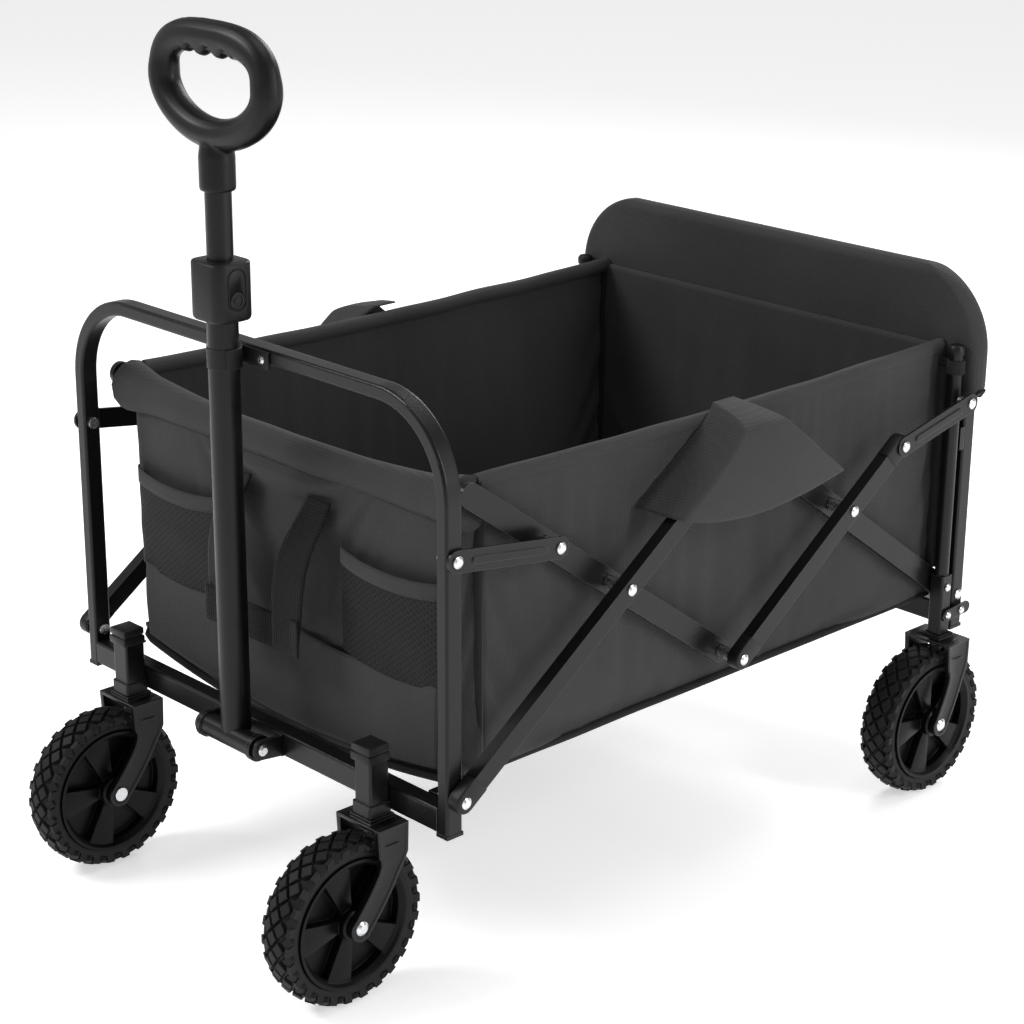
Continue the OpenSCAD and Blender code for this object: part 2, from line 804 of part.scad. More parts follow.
// Mesh pockets on the front wall, open at the top
module front_pockets() {
    color(cloth) for (side = [-1, 1])
        translate([side * (basket_x - 22 - pocket_w / 2) - pocket_w / 2, front_wall_y - pocket_d,
            pocket_z0]) difference() {
                cube([pocket_w, pocket_d, pocket_z1 - pocket_z0]);
                translate([2, 2, 2]) cube([pocket_w - 4, pocket_d - 2, pocket_z1 - pocket_z0]);
            }
}

strap_half = 62;
strap_z0 = 343;
strap_z1 = 455;
strap_out = 40;
strap_t = 2.5;
strap_y = front_wall_y - strap_out + pocket_d;

// Webbing loop that hangs across the front wall as a carry strap
module pull_strap() {
    color(cloth) {
        for (side = [-1, 1]) translate([side * strap_half - strap_w / 2, 0, 0]) {
            translate([0, front_wall_y - cloth_t, strap_z1 - 12]) cube([strap_w, cloth_t, 12]);
            translate([0, strap_y, strap_z0]) cube([strap_w, strap_t, strap_z1 - strap_z0]);
            translate([0, strap_y, strap_z1 - strap_t])
                cube([strap_w, front_wall_y - strap_y, strap_t]);
        }
        translate([-strap_half - strap_w / 2, strap_y, strap_z0 - strap_w])
            cube([2 * strap_half + strap_w, strap_t, strap_w]);
    }
}

// Side wall with its rolled rim hem and bottom piping
module side_wall(side) {
    color(cloth) on(side) {
        translate([basket_x - cloth_t, side_y0, mat_z]) cube([cloth_t, side_y1 - side_y0,
            rim_z - hem_d / 2 - mat_z]);
        translate([basket_x - cloth_t / 2 - hem_d / 2 + 2, side_y0, rim_z - hem_d / 2])
            rotate([-90, 0, 0]) cylinder(d = hem_d, h = side_y1 - side_y0);
    }
}

// Padded base mat inside the basket
module base_mat() {
    color(cloth) translate([-(basket_x - cloth_t - 1), side_y0 + 1, mat_z])
        cube([2 * (basket_x - cloth_t - 1), rear_wall_y - side_y0 - 2, mat_t]);
}

// Rear wall: a panel in front of the rear frame, its hood wider than the frame at the top
module rear_wall() {
    half = basket_x - 4;
    hood_half = frame_w / 2 + hood_over;
    hood_top = rear_top_z + hood_over;
    hood_low = brace_z - 4;
    r = bend_r;
    color(cloth) {
        translate([-half + 6, rear_wall_y, mat_z]) cube([2 * half - 12, cloth_t,
            hood_low + r - mat_z]);
        translate([0, rear_wall_y + cloth_t, 0]) rotate([90, 0, 0]) linear_extrude(cloth_t) {
            translate([-hood_half, hood_low]) square([2 * hood_half, hood_top - r - hood_low]);
            translate([-hood_half + r, hood_top - r]) square([2 * (hood_half - r), r]);
            for (side = [-1, 1]) translate([side * (hood_half - r), hood_top - r]) circle(r);
        }
    }
}

// ---------- assembly ----------

module placed() {
    translate([0, shift_y, 0]) children();
}

placed() front_frame();
placed() front_crossbar();
placed() front_posts();
placed() front_end_caps();
placed() corner_brackets();
placed() handle_bracket();
placed() handle_clip();
placed() front_fasteners();
placed() front_wall();
placed() front_pockets();
placed() pull_strap();
placed() side_wall(-1);  // side_wall_left
placed() side_wall(1);  // side_wall_right
placed() base_mat();
placed() front_fork(-1);  // front_fork_left
placed() front_fork(1);  // front_fork_right
placed() axle(-1, post_span / 2, front_wheel_y);  // front_axle_left
placed() axle(1, post_span / 2, front_wheel_y);  // front_axle_right
placed() tyre(-post_span / 2, front_wheel_y);  // front_tyre_left
placed() tyre(post_span / 2, front_wheel_y);  // front_tyre_right
placed() hub(-post_span / 2, front_wheel_y);  // front_hub_left
placed() hub(post_span / 2, front_wheel_y);  // front_hub_right
placed() rear_fork(-1);  // rear_fork_left
placed() rear_fork(1);  // rear_fork_right
placed() {  // rear_axles
    axle(-1, rear_post_x, rear_wheel_y);
    axle(1, rear_post_x, rear_wheel_y);
}
placed() tyre(-rear_post_x, rear_wheel_y);  // rear_tyre_left
placed() tyre(rear_post_x, rear_wheel_y);  // rear_tyre_right
placed() hub(-rear_post_x, rear_wheel_y);  // rear_hub_left
placed() hub(rear_post_x, rear_wheel_y);  // rear_hub_right
placed() handle_tube();
placed() handle_pivot_sleeve();
placed() handle_band();
placed() lock_collar();
placed() lock_button();
placed() handle_inner_tube();
placed() handle_grip();
placed() front_long_strut(-1);  // front_long_strut_left
placed() front_long_strut(1);  // front_long_strut_right
placed() front_cross_strut(-1);  // front_cross_strut_left
placed() front_cross_strut(1);  // front_cross_strut_right
placed() rear_long_strut(-1);  // rear_long_strut_left
placed() rear_long_strut(1);  // rear_long_strut_right
placed() rear_cross_strut(-1);  // rear_cross_strut_left
placed() rear_cross_strut(1);  // rear_cross_strut_right
placed() front_brace(-1);  // front_brace_left
placed() front_brace(1);  // front_brace_right
placed() rear_brace(-1);  // rear_brace_left
placed() rear_brace(1);  // rear_brace_right
placed() front_strut_bolts();
placed() rear_strut_bolts();
placed() front_brace_bolts();
placed() rear_brace_bolts();
placed() rear_frame();
placed() rear_crossbar();
placed() rear_posts();
placed() rear_poles();
placed() rear_brackets();
placed() rear_end_caps();
placed() rear_fasteners();
placed() rear_wall();
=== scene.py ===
"""Cloth, wheels, forks, grip and finishes of a folding camp wagon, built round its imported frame."""

import json
import math

import bmesh
import bpy
from bpy.props import FloatProperty, FloatVectorProperty, IntProperty, PointerProperty
from mathutils import Matrix, Vector, noise


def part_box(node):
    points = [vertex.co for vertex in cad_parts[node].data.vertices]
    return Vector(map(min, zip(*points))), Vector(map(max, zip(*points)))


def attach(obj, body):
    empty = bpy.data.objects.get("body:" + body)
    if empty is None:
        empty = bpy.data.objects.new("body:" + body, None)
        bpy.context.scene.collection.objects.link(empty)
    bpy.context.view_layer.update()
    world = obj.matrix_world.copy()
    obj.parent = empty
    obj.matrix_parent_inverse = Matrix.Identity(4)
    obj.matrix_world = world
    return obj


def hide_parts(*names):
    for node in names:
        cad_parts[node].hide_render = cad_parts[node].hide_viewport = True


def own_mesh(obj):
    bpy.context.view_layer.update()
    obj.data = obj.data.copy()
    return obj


bl_info = {
    "name": "Folding Camp Wagon",
    "version": (1, 0, 0),
    "blender": (4, 5, 0),
    "location": "View3D > Sidebar > Wagon",
    "description": "Builds the cloth, wheels, grip and finishes of a folding camp wagon",
    "category": "Add Mesh",
}

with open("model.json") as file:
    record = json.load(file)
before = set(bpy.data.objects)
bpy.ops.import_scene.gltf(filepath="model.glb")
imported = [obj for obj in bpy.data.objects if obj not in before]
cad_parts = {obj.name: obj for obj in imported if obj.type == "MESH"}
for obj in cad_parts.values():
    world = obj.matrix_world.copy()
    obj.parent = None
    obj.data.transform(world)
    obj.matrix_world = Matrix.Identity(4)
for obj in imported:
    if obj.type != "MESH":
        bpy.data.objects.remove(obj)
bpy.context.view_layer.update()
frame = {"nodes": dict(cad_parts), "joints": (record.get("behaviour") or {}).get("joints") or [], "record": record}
SIDES = (("left", -1), ("right", 1))
ENDS = ("front", "rear")
X_AXIS, Z_AXIS = (1, 0, 0), (0, 0, 1)
NEAR = 1.0e-4
POLE_RADIUS = 0.008
TUBE_WIDTH = 0.015
STRUT_FACE = 0.020


def middle(node):
    """Centre of a CAD node's box."""
    low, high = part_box(node)
    return (low + high) / 2


def linear(code):
    """A #rrggbb sRGB colour as linear numbers."""
    parts = [int(code[i : i + 2], 16) / 255 for i in (1, 3, 5)]
    return [c / 12.92 if c <= 0.04045 else ((c + 0.055) / 1.055) ** 2.4 for c in parts]


# ---------- sizes and colours that a user would change ----------


def size(name, text, metres):
    return FloatProperty(name=name, description=text, default=metres, subtype="DISTANCE", unit="LENGTH")


def colour(name, text, code):
    return FloatVectorProperty(
        name=name, description=text, default=linear(code), subtype="COLOR", min=0, max=1
    )


class WagonCloth(bpy.types.PropertyGroup):
    """Sizes of the basket's cloth."""

    thick: size("Cloth thickness", "Oxford cloth with its coating", 0.0014)
    corner: size("Corner radius", "Radius of the basket's upright front corners", 0.022)
    hem: size("Rim hem", "Radius of the rolled hem along the side rims", 0.0068)
    piping: size("Piping", "Radius of the bound edge round the bottom", 0.0042)
    cuff: size("Cuff", "Radius of the rolled cuff of the front wall at its ends", 0.0185)
    droop: size("Droop", "How far the front wall hangs below its corners", 0.028)
    slack: FloatProperty(name="Slack", description="Spare cloth in the walls", default=0.006)


class WagonWheels(bpy.types.PropertyGroup):
    """Sizes of the tread and the forks."""

    blocks: IntProperty(name="Blocks", description="Tread blocks round one row", default=26)
    groove: size("Groove", "Depth of the tread's grooves", 0.0045)
    cheek: size("Cheek", "Thickness of a fork cheek with its turned edge", 0.006)


class WagonHandle(bpy.types.PropertyGroup):
    """Sizes of the grip and the lock."""

    scallop: size("Scallop", "Depth of the finger grooves in the grip", 0.0034)
    line: size("Line", "Width of the line round the lock's recess", 0.0012)


class WagonColours(bpy.types.PropertyGroup):
    """Colours of the finishes."""

    powder: colour("Powder coat", "Satin black on the steel tubes", "#0e0e0f")
    cloth: colour("Cloth", "Charcoal oxford", "#363636")
    binding: colour("Binding", "Bound edges and webbing", "#19191a")
    mesh: colour("Mesh", "Knitted pocket mesh", "#121213")
    plastic: colour("Plastic", "Moulded caps, clip and lock", "#111112")
    rubber: colour("Rubber", "Tyres", "#121213")
    zinc: colour("Zinc", "Bolt heads", "#d6d7d9")
    floor: colour("Floor", "Pale studio floor", "#f7f7f7")


# ---------- small modelling helpers ----------


def solid(bm, name, finish, body, replaced=(), angle=35, outward=True):
    """Turns a bmesh into a piece that rides on a body and stands for CAD nodes."""
    if outward:
        bmesh.ops.recalc_face_normals(bm, faces=bm.faces)
    mesh = bpy.data.meshes.new(name)
    bm.to_mesh(mesh)
    bm.free()
    mesh.materials.clear()
    mesh.materials.append(finish)
    mesh.shade_smooth()
    mesh.set_sharp_from_angle(angle=math.radians(angle))
    piece = bpy.data.objects.new(name, mesh)
    bpy.context.scene.collection.objects.link(piece)
    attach(piece, body)
    if replaced:
        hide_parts(*replaced)
    return piece


def finished_mesh(source):
    """The mesh that a piece or a curve has with its modifiers and bevel."""
    graph = bpy.context.evaluated_depsgraph_get()
    return bpy.data.meshes.new_from_object(source.evaluated_get(graph))


def applied(piece):
    """Makes a piece's modifiers part of its mesh."""
    mesh = finished_mesh(piece)
    piece.modifiers.clear()
    piece.data = mesh


def carved(piece, cutter):
    """Cuts one piece out of another and removes the cutter."""
    carve = piece.modifiers.new("carve", "BOOLEAN")
    carve.operation = "DIFFERENCE"
    carve.object = cutter
    carve.solver = "EXACT"
    applied(piece)
    bpy.data.objects.remove(cutter)


def merged(bm, part):
    """Adds a bmesh's faces to another and frees it."""
    mesh = bpy.data.meshes.new("part")
    part.to_mesh(mesh)
    part.free()
    bm.from_mesh(mesh)
    bpy.data.meshes.remove(mesh)


def slab(bm, low, high):
    """A box between two corners."""
    low, high = Vector(low), Vector(high)
    made = bmesh.ops.create_cube(bm, size=1.0)["verts"]
    bmesh.ops.scale(bm, vec=high - low, verts=made)
    bmesh.ops.translate(bm, vec=(low + high) / 2, verts=made)


def extruded(bm, outline, along):
    """A closed outline pushed along a vector."""
    face = bm.faces.new([bm.verts.new(p) for p in outline])
    made = bmesh.ops.extrude_face_region(bm, geom=[face])["geom"]
    moved = [g for g in made if isinstance(g, bmesh.types.BMVert)]
    bmesh.ops.translate(bm, vec=along, verts=moved)
    return moved


def round_edges(bm, edges, width, segments):
    bmesh.ops.bevel(
        bm, geom=edges, offset=width, offset_type="OFFSET", segments=segments, profile=0.5,
        affect="EDGES", clamp_overlap=True, material=-1,
    )


def soften(bm, width, segments=2, limit=30):
    """Rounds every edge that is sharper than the limit in degrees."""
    edges = [e for e in bm.edges if e.calc_face_angle(0) > math.radians(limit)]
    round_edges(bm, edges, width, segments)


def spun(bm, profile, centre, axis, steps):
    """A closed profile of (along the axis, radius) points turned fully round the axis at a centre."""
    axis = Vector(axis)
    out = Vector((0, 0, 1)) if abs(axis.z) < 0.5 else Vector((1, 0, 0))
    ring = [bm.verts.new(Vector(centre) + axis * a + out * r) for a, r in profile]
    edges = [bm.edges.new((ring[i - 1], ring[i])) for i in range(len(ring))]
    bmesh.ops.spin(
        bm, geom=ring + edges, cent=centre, axis=axis, angle=2 * math.pi, steps=steps, use_merge=True
    )


def rod(bm, start, end, radius, segments=24):
    """A plain cylinder from one point to another."""
    start, end = Vector(start), Vector(end)
    along = end - start
    turn = along.to_track_quat("Z", "Y").to_matrix().to_4x4()
    bmesh.ops.create_cone(
        bm, cap_ends=True, segments=segments, radius1=radius, radius2=radius, depth=along.length,
        matrix=Matrix.Translation((start + end) / 2) @ turn,
    )


def cloth_grid(columns, rows, place):
    """A grid whose point at (u, v), each from 0 to 1, lies at place(u, v)."""
    bm = bmesh.new()
    bmesh.ops.create_grid(bm, x_segments=columns, y_segments=rows, size=0.5)
    for v in bm.verts:
        v.co = place(v.co.x + 0.5, v.co.y + 0.5)
    return bm


def thicken(piece, thickness, offset=0.0):
    """Gives a sheet its thickness with a live modifier."""
    shell = piece.modifiers.new("thickness", "SOLIDIFY")
    shell.thickness = thickness
    shell.offset = offset


def swept(name, points, radius, finish, body, cyclic=False, replaced=(), squeeze=None):
    """A round section carried along a line of points, as a mesh piece."""
    curve = bpy.data.curves.new(name, "CURVE")
    curve.dimensions = "3D"
    curve.bevel_depth = radius
    curve.bevel_resolution = 4
    curve.use_fill_caps = True
    line = curve.splines.new("POLY")
    line.points.add(len(points) - 1)
    for knot, point in zip(line.points, points):
        knot.co = (*point, 1.0)
        if squeeze:
            knot.radius = squeeze(Vector(point))
    line.use_cyclic_u = cyclic
    maker = bpy.data.objects.new(name + ".line", curve)
    bpy.context.scene.collection.objects.link(maker)
    bm = bmesh.new()
    bm.from_mesh(finished_mesh(maker))
    bpy.data.objects.remove(maker)
    bmesh.ops.remove_doubles(bm, verts=bm.verts, dist=NEAR / 100)
    return solid(bm, name, finish, body, replaced, angle=50)


def lerp(a, b, t):
    """A value part of the way from a to b."""
    return a + (b - a) * t


def ease(t):
    """0 to 1 with level ends."""
    t = min(max(t, 0), 1)
    return t * t * (3 - 2 * t)


def crowd(t):
    """0 to 1, or -1 to 1, with closer steps towards the ends at 1 and -1."""
    return math.sin(t * math.pi / 2)


def bow(u):
    """0 at both ends, 1 in the middle."""
    return 1 - (2 * u - 1) ** 2


def ripple(point, reach, depth):
    """Smooth unevenness of hung cloth."""
    return noise.noise(Vector(point) / reach) * depth


# ---------- finishes ----------


def add(tree, kind, settings, inputs):
    """A shader node with its settings, values and links."""
    made = tree.nodes.new("ShaderNode" + kind)
    for name, value in settings.items():
        setattr(made, name, value)
    for name, value in inputs.items():
        if isinstance(value, bpy.types.NodeSocket):
            tree.links.new(value, made.inputs[name])
        else:
            made.inputs[name].default_value = value
    return made


def blank(name):
    """A new material with its node tree and its shader."""
    finish = bpy.data.materials.new(name)
    finish.use_nodes = True
    return finish, finish.node_tree, finish.node_tree.nodes["Principled BSDF"]


def shade(tree, shader, base, height, distance, normal=None):
    """Feeds a colour and a height to the shader."""
    inputs = {"Distance": distance, "Height": height}
    if normal:
        inputs["Normal"] = normal
    bump = add(tree, "Bump", {}, inputs)
    tree.links.new(base, shader.inputs["Base Color"])
    tree.links.new(bump.outputs["Normal"], shader.inputs["Normal"])


def spread(tree, source, low, high):
    """Stretches a 0.3 to 0.7 noise over low to high."""
    ends = {"From Min": 0.3, "From Max": 0.7, "To Min": low, "To Max": high}
    return add(tree, "MapRange", {}, {"Value": source, **ends}).outputs["Result"]


def two_tone(tree, factor, first, second):
    """A colour between two fixed ones."""
    mixed = add(tree, "Mix", {"data_type": "RGBA"}, {0: factor, 6: (*first, 1), 7: (*second, 1)})
    return mixed.outputs[2]


def lighter(base, times):
    return [min(c * times, 1) for c in base]


def coated(name, base, roughness, grit, distance, edge, edge_radius=0.0012, specular=0.3):
    """A coated or moulded surface: fine grit, uneven sheen, and edges painted lighter as a painted highlight.

    grit is the spacing of the texture in metres, drawn coarse enough to show. edge is how many times the base
    colour the painted edge highlight is.
    """
    finish, tree, shader = blank(name)
    place = add(tree, "TexCoord", {}, {}).outputs["Object"]
    fine = add(tree, "TexNoise", {}, {"Vector": place, "Scale": 1 / grit, "Detail": 3.0})
    broad = add(tree, "TexNoise", {}, {"Vector": place, "Scale": 14.0, "Detail": 4.0}).outputs["Fac"]
    rounded = add(tree, "Bevel", {"samples": 4}, {"Radius": edge_radius}).outputs["Normal"]
    flat = add(tree, "NewGeometry", {}, {}).outputs["Normal"]
    same = add(tree, "VectorMath", {"operation": "DOT_PRODUCT"}, {0: rounded, 1: flat}).outputs["Value"]
    # painted highlight: where the rounded normal turns from the flat one, at edges and corners, the colour is
    # painted lighter, up to edge times the base colour
    edge_highlight_mask = add(tree, "MapRange", {}, {"Value": same, "From Min": 0.98, "From Max": 0.8}).outputs["Result"]
    plain = two_tone(tree, broad, lighter(base, 0.8), lighter(base, 1.25))
    mixed = add(tree, "Mix", {"data_type": "RGBA"}, {0: edge_highlight_mask, 6: plain, 7: (*lighter(base, edge), 1)})
    shade(tree, shader, mixed.outputs[2], fine.outputs["Fac"], distance, rounded)
    tree.links.new(spread(tree, broad, roughness - 0.05, roughness + 0.06), shader.inputs["Roughness"])
    shader.inputs["Specular IOR Level"].default_value = specular
    return finish


def powder_coat(colours):
    """Polyester powder baked on steel tube: even satin black with faint orange peel."""
    # edges painted 22 times the base colour as a painted highlight
    return coated("powder_coat_satin_black", colours.powder, 0.3, 0.0022, 0.00005, 22.0, specular=0.25)


def moulded(colours):
    """Glass-filled nylon, spark-eroded mould texture: matt with a soft sheen."""
    return coated("moulded_nylon_black", colours.plastic, 0.44, 0.0016, 0.00005, 8.0, specular=0.24)


def hub_nylon(colours):
    """Unfilled nylon hub, polished in the mould: very dark with soft reflections."""
    return coated("hub_nylon_black", lighter(colours.plastic, 0.4), 0.36, 0.0024, 0.00003, 6.0, specular=0.14)


def soft_touch(colours):
    """Soft-touch polymer over the grip: deep matt black with a broad highlight."""
    return coated("grip_soft_touch", lighter(colours.plastic, 0.6), 0.4, 0.0018, 0.00004, 1.4, specular=0.22)


def tyre_rubber(colours):
    """Solid tyre compound straight from the mould: dull, with its edges and the corners of its hollows painted
    lighter as a painted highlight.
    """
    return coated("tyre_rubber_moulded", colours.rubber, 0.6, 0.003, 0.0001, 4.0, 0.0008, specular=0.22)


def zinc_plate(colours):
    """Bright zinc on pressed steel heads: fine random brushing and soft reflections."""
    finish, tree, shader = blank("zinc_plate_bright")
    place = add(tree, "TexCoord", {}, {}).outputs["Object"]
    cloudy = add(tree, "TexNoise", {}, {"Vector": place, "Scale": 500.0, "Detail": 1.0})
    base = two_tone(tree, cloudy.outputs["Fac"], lighter(colours.zinc, 0.85), lighter(colours.zinc, 1.1))
    rounded = add(tree, "Bevel", {"samples": 4}, {"Radius": 0.0008}).outputs["Normal"]
    shade(tree, shader, base, cloudy.outputs["Fac"], 0.000004, rounded)
    tree.links.new(spread(tree, cloudy.outputs["Fac"], 0.2, 0.34), shader.inputs["Roughness"])
    shader.inputs["Metallic"].default_value = 1.0
    return finish


def weave(name, base, turn, thread, depth, fleck=0.16, roughness=0.82, sheen=0.05):
    """Plain weave of dyed polyester: crossing threads, flecks in the yarn, dull with a soft sheen.

    thread is the spacing drawn, three times the real one so that it shows. turn lays the threads in the
    cloth's plane.
    """
    wave = 2 * math.pi / (20 * thread)
    finish, tree, shader = blank(name)
    place = add(tree, "TexCoord", {}, {}).outputs["Object"]
    laid = add(tree, "Mapping", {}, {"Vector": place, "Rotation": turn}).outputs["Vector"]
    across, along = (
        add(
            tree, "TexWave", {"bands_direction": way},
            {"Vector": laid, "Scale": wave, "Distortion": 0.6, "Detail Scale": 0.4, "Detail": 1.0},
        ).outputs["Fac"]
        for way in "XZ"
    )
    height = add(tree, "Math", {"operation": "MULTIPLY"}, {0: across, 1: along}).outputs["Value"]
    yarn = add(tree, "TexNoise", {}, {"Vector": laid, "Scale": 1.2 / thread, "Detail": 3.0}).outputs["Fac"]
    cloudy = add(tree, "TexNoise", {}, {"Vector": place, "Scale": 7.0, "Detail": 4.0}).outputs["Fac"]
    spotted = add(tree, "Math", {"operation": "MULTIPLY"}, {0: yarn, 1: height}).outputs["Value"]
    mixed = add(tree, "Math", {"operation": "ADD"}, {0: spotted, 1: cloudy}).outputs["Value"]
    toned = add(tree, "MapRange", {}, {"Value": mixed, "From Min": 0.3, "From Max": 1.1}).outputs["Result"]
    tone = two_tone(tree, toned, lighter(base, 1 - fleck * 1.6), lighter(base, 1 + fleck * 1.6))
    shade(tree, shader, tone, height, depth)
    shader.inputs["Roughness"].default_value = roughness
    shader.inputs["Specular IOR Level"].default_value = 0.2
    shader.inputs["Sheen Weight"].default_value = sheen
    shader.inputs["Sheen Roughness"].default_value = 0.4
    return finish


ALONG_SIDE = (0, 0, math.pi / 2)
ALONG_FRONT = (0, 0, 0)
ALONG_FLOOR = (math.pi / 2, 0, 0)


def knitted_mesh(colours):
    """Open warp-knit mesh over the wall: small slanted holes between shiny yarns, the holes painted near black as
    painted shade of the pocket's inside.
    """
    pitch = 0.0052
    finish, tree, shader = blank("pocket_mesh_knitted")
    place = add(tree, "TexCoord", {}, {}).outputs["Object"]
    bands = []
    for lean in (-1, 1):
        turned = add(
            tree, "Mapping", {}, {"Vector": place, "Rotation": (0, lean * math.radians(52), 0)}
        ).outputs["Vector"]
        band = add(
            tree, "TexWave", {"bands_direction": "X"}, {"Vector": turned, "Scale": math.pi / (10 * pitch)}
        )
        bands.append(band.outputs["Fac"])
    yarns = add(tree, "Math", {"operation": "MAXIMUM"}, {0: bands[0], 1: bands[1]}).outputs["Value"]
    hole = add(tree, "MapRange", {}, {"Value": yarns, "From Min": 0.45, "From Max": 0.8}).outputs["Result"]
    # painted shade: the holes are painted near black, standing in for the shaded inside of the pocket behind them
    tone = two_tone(tree, hole, lighter(colours.mesh, 0.12), lighter(colours.mesh, 1.5))
    shade(tree, shader, tone, hole, 0.0008)
    shader.inputs["Roughness"].default_value = 0.62
    shader.inputs["Specular IOR Level"].default_value = 0.22
    return finish


FINISHES = {}


def make_finishes(colours):
    """Makes every material once, under the name of its slot or its cloth."""
    FINISHES.update(
        powder_coat=powder_coat(colours), zinc=zinc_plate(colours), moulded_black=moulded(colours),
        hub_plastic=hub_nylon(colours), tyre_rubber=tyre_rubber(colours), grip_plastic=soft_touch(colours),
        side_cloth=weave("oxford_side", colours.cloth, ALONG_SIDE, 0.0022, 0.0003),
        front_cloth=weave("oxford_front", colours.cloth, ALONG_FRONT, 0.0022, 0.0003),
        floor_cloth=weave("oxford_mat", colours.cloth, ALONG_FLOOR, 0.0022, 0.0003),
        binding=weave("binding_tape", colours.binding, ALONG_FRONT, 0.0018, 0.0002),
        webbing=weave("webbing_ribbed", colours.binding, ALONG_FRONT, 0.003, 0.0006, 0.2),
        mesh=knitted_mesh(colours),
    )


# ---------- wheels ----------


def tread(bm, sizes, centre, radius, width):
    """Rows of lozenge blocks round the crown and lugs down both shoulders."""
    pitch = 2 * math.pi * radius / sizes.blocks
    row_gap = width * 0.205
    rows = ((0, 0, 0, 1, 1), (1, 0.5, 11, 1, 1), (2, 0, 36, 0.9, 0.85))
    for row, phase, tilt, wide, long in rows:
        for side in (-1, 1) if row else (1,):
            reach = radius - sizes.groove / 2 - 0.0004 - (0, 0.0006, 0.0048)[row]
            for turn in range(sizes.blocks):
                angle = (turn + phase) * 2 * math.pi / sizes.blocks
                seat = (
                    Matrix.Translation(centre)
                    @ Matrix.Rotation(angle, 4, "X")
                    @ Matrix.Translation((side * row_gap * row, 0, reach))
                    @ Matrix.Rotation(math.radians(side * tilt), 4, "Y")
                    @ Matrix.Diagonal((row_gap * 0.86 * wide, pitch / 2 * 0.86 * long, 1, 1))
                )
                bmesh.ops.create_cone(
                    bm, cap_ends=True, segments=4, radius1=1.0, radius2=0.84, depth=sizes.groove, matrix=seat
                )
    for side in (-1, 1):
        for turn in range(sizes.blocks):
            angle = (turn + 0.5) * 2 * math.pi / sizes.blocks
            seat = (
                Matrix.Translation(centre)
                @ Matrix.Rotation(angle, 4, "X")
                @ Matrix.Translation((side * (width / 2 - 0.0030), 0, radius - 0.0105))
                @ Matrix.Rotation(math.radians(side * 14), 4, "Y")
                @ Matrix.Diagonal((0.0042, pitch * 0.42, 0.0125, 1))
            )
            bmesh.ops.create_cube(bm, size=1.0, matrix=seat)


class WAGON_OT_tyres(bpy.types.Operator):
    """Solid tyres with a lozenge tread"""

    bl_idname = "wagon.tyres"
    bl_label = "Tyres"
    wall = 0.0205  # height of the tyre over its hub
    proud = 0.004  # room for the shoulder lugs in the tyre's width

    def execute(self, context):
        sizes = context.scene.wagon_wheels
        for end in ENDS:
            for side, _sign in SIDES:
                low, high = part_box(f"{end}_tyre_{side}")
                centre = (low + high) / 2
                radius, width = (high.z - low.z) / 2, high.x - low.x - self.proud
                rim = radius - self.wall
                half, crown = width / 2, radius - sizes.groove
                profile = [
                    (-half + 0.006, rim), (-half + 0.002, rim + 0.0015), (-half + 0.0008, rim + 0.006),
                    (-half + 0.001, crown - 0.009), (-half + 0.0045, crown - 0.0035),
                    (-half * 0.45, crown - 0.0004), (0, crown), (half * 0.45, crown - 0.0004),
                    (half - 0.0045, crown - 0.0035), (half - 0.001, crown - 0.009),
                    (half - 0.0008, rim + 0.006), (half - 0.002, rim + 0.0015), (half - 0.006, rim),
                ]
                bm = bmesh.new()
                spun(bm, profile, centre, X_AXIS, 78)
                tread(bm, sizes, centre, radius, width)
                solid(
                    bm, f"tyre_{end}_{side}", FINISHES["tyre_rubber"], f"{end}_{side}_wheel",
                    [f"{end}_tyre_{side}"], angle=28,
                )
        return {"FINISHED"}


class WAGON_OT_hubs(bpy.types.Operator):
    """Moulded wheel centres with five wedge spokes on each face"""

    bl_idname = "wagon.hubs"
    bl_label = "Hubs"
    spokes = 5

    def execute(self, context):
        for end in ENDS:
            for side, _sign in SIDES:
                low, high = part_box(f"{end}_hub_{side}")
                centre, radius = (low + high) / 2, (high.z - low.z) / 2
                half = (high.x - low.x) / 2
                lip = half - 0.0025
                bm = bmesh.new()
                ring = [
                    (-lip, radius), (-lip, radius - 0.003), (-lip + 0.0025, radius - 0.0055),
                    (-lip + 0.006, radius - 0.008), (lip - 0.006, radius - 0.008),
                    (lip - 0.0025, radius - 0.0055), (lip, radius - 0.003), (lip, radius),
                ]
                spun(bm, ring, centre, X_AXIS, 72)
                web = [(-0.004, 0.012), (0.004, 0.012), (0.0055, radius - 0.006), (-0.0055, radius - 0.006)]
                spun(bm, web, centre, X_AXIS, 60)
                boss = [
                    (-half, 0.0055), (-half, 0.0145), (-half + 0.0015, 0.0165), (half - 0.0015, 0.0165),
                    (half, 0.0145), (half, 0.0055),
                ]
                spun(bm, boss, centre, X_AXIS, 40)
                self.wedges(bm, centre, radius, half)
                solid(
                    bm, f"hub_{end}_{side}", FINISHES["hub_plastic"], f"{end}_{side}_wheel",
                    [f"{end}_hub_{side}"],
                )
        return {"FINISHED"}

    def wedges(self, bm, centre, radius, half):
        """Raised spokes, wide at the rim, each sloping a little across its face."""
        made = bmesh.new()
        inner, outer, narrow, wide = 0.013, radius - 0.005, 0.006, 0.0165
        for face in (-1, 1):
            for turn in range(self.spokes):
                angle = math.radians(360 / self.spokes * turn + 18)
                tip = (outer + 0.0025, 0)
                outline = [(inner, -narrow), (outer, -wide), tip, (outer, wide), (inner, narrow)]
                points = [
                    Matrix.Rotation(angle, 4, "X") @ Vector((face * 0.002, across, out)) + centre
                    for out, across in outline
                ]
                tops = extruded(made, points, (face * (half - 0.008), 0, 0))
                sunk = [v for v in tops if (v.co - centre).length < inner + 0.012]
                bmesh.ops.translate(made, vec=(-face * 0.003, 0, 0), verts=sunk)
        bmesh.ops.recalc_face_normals(made, faces=made.faces)
        soften(made, 0.0011, 2, 40)
        merged(bm, made)


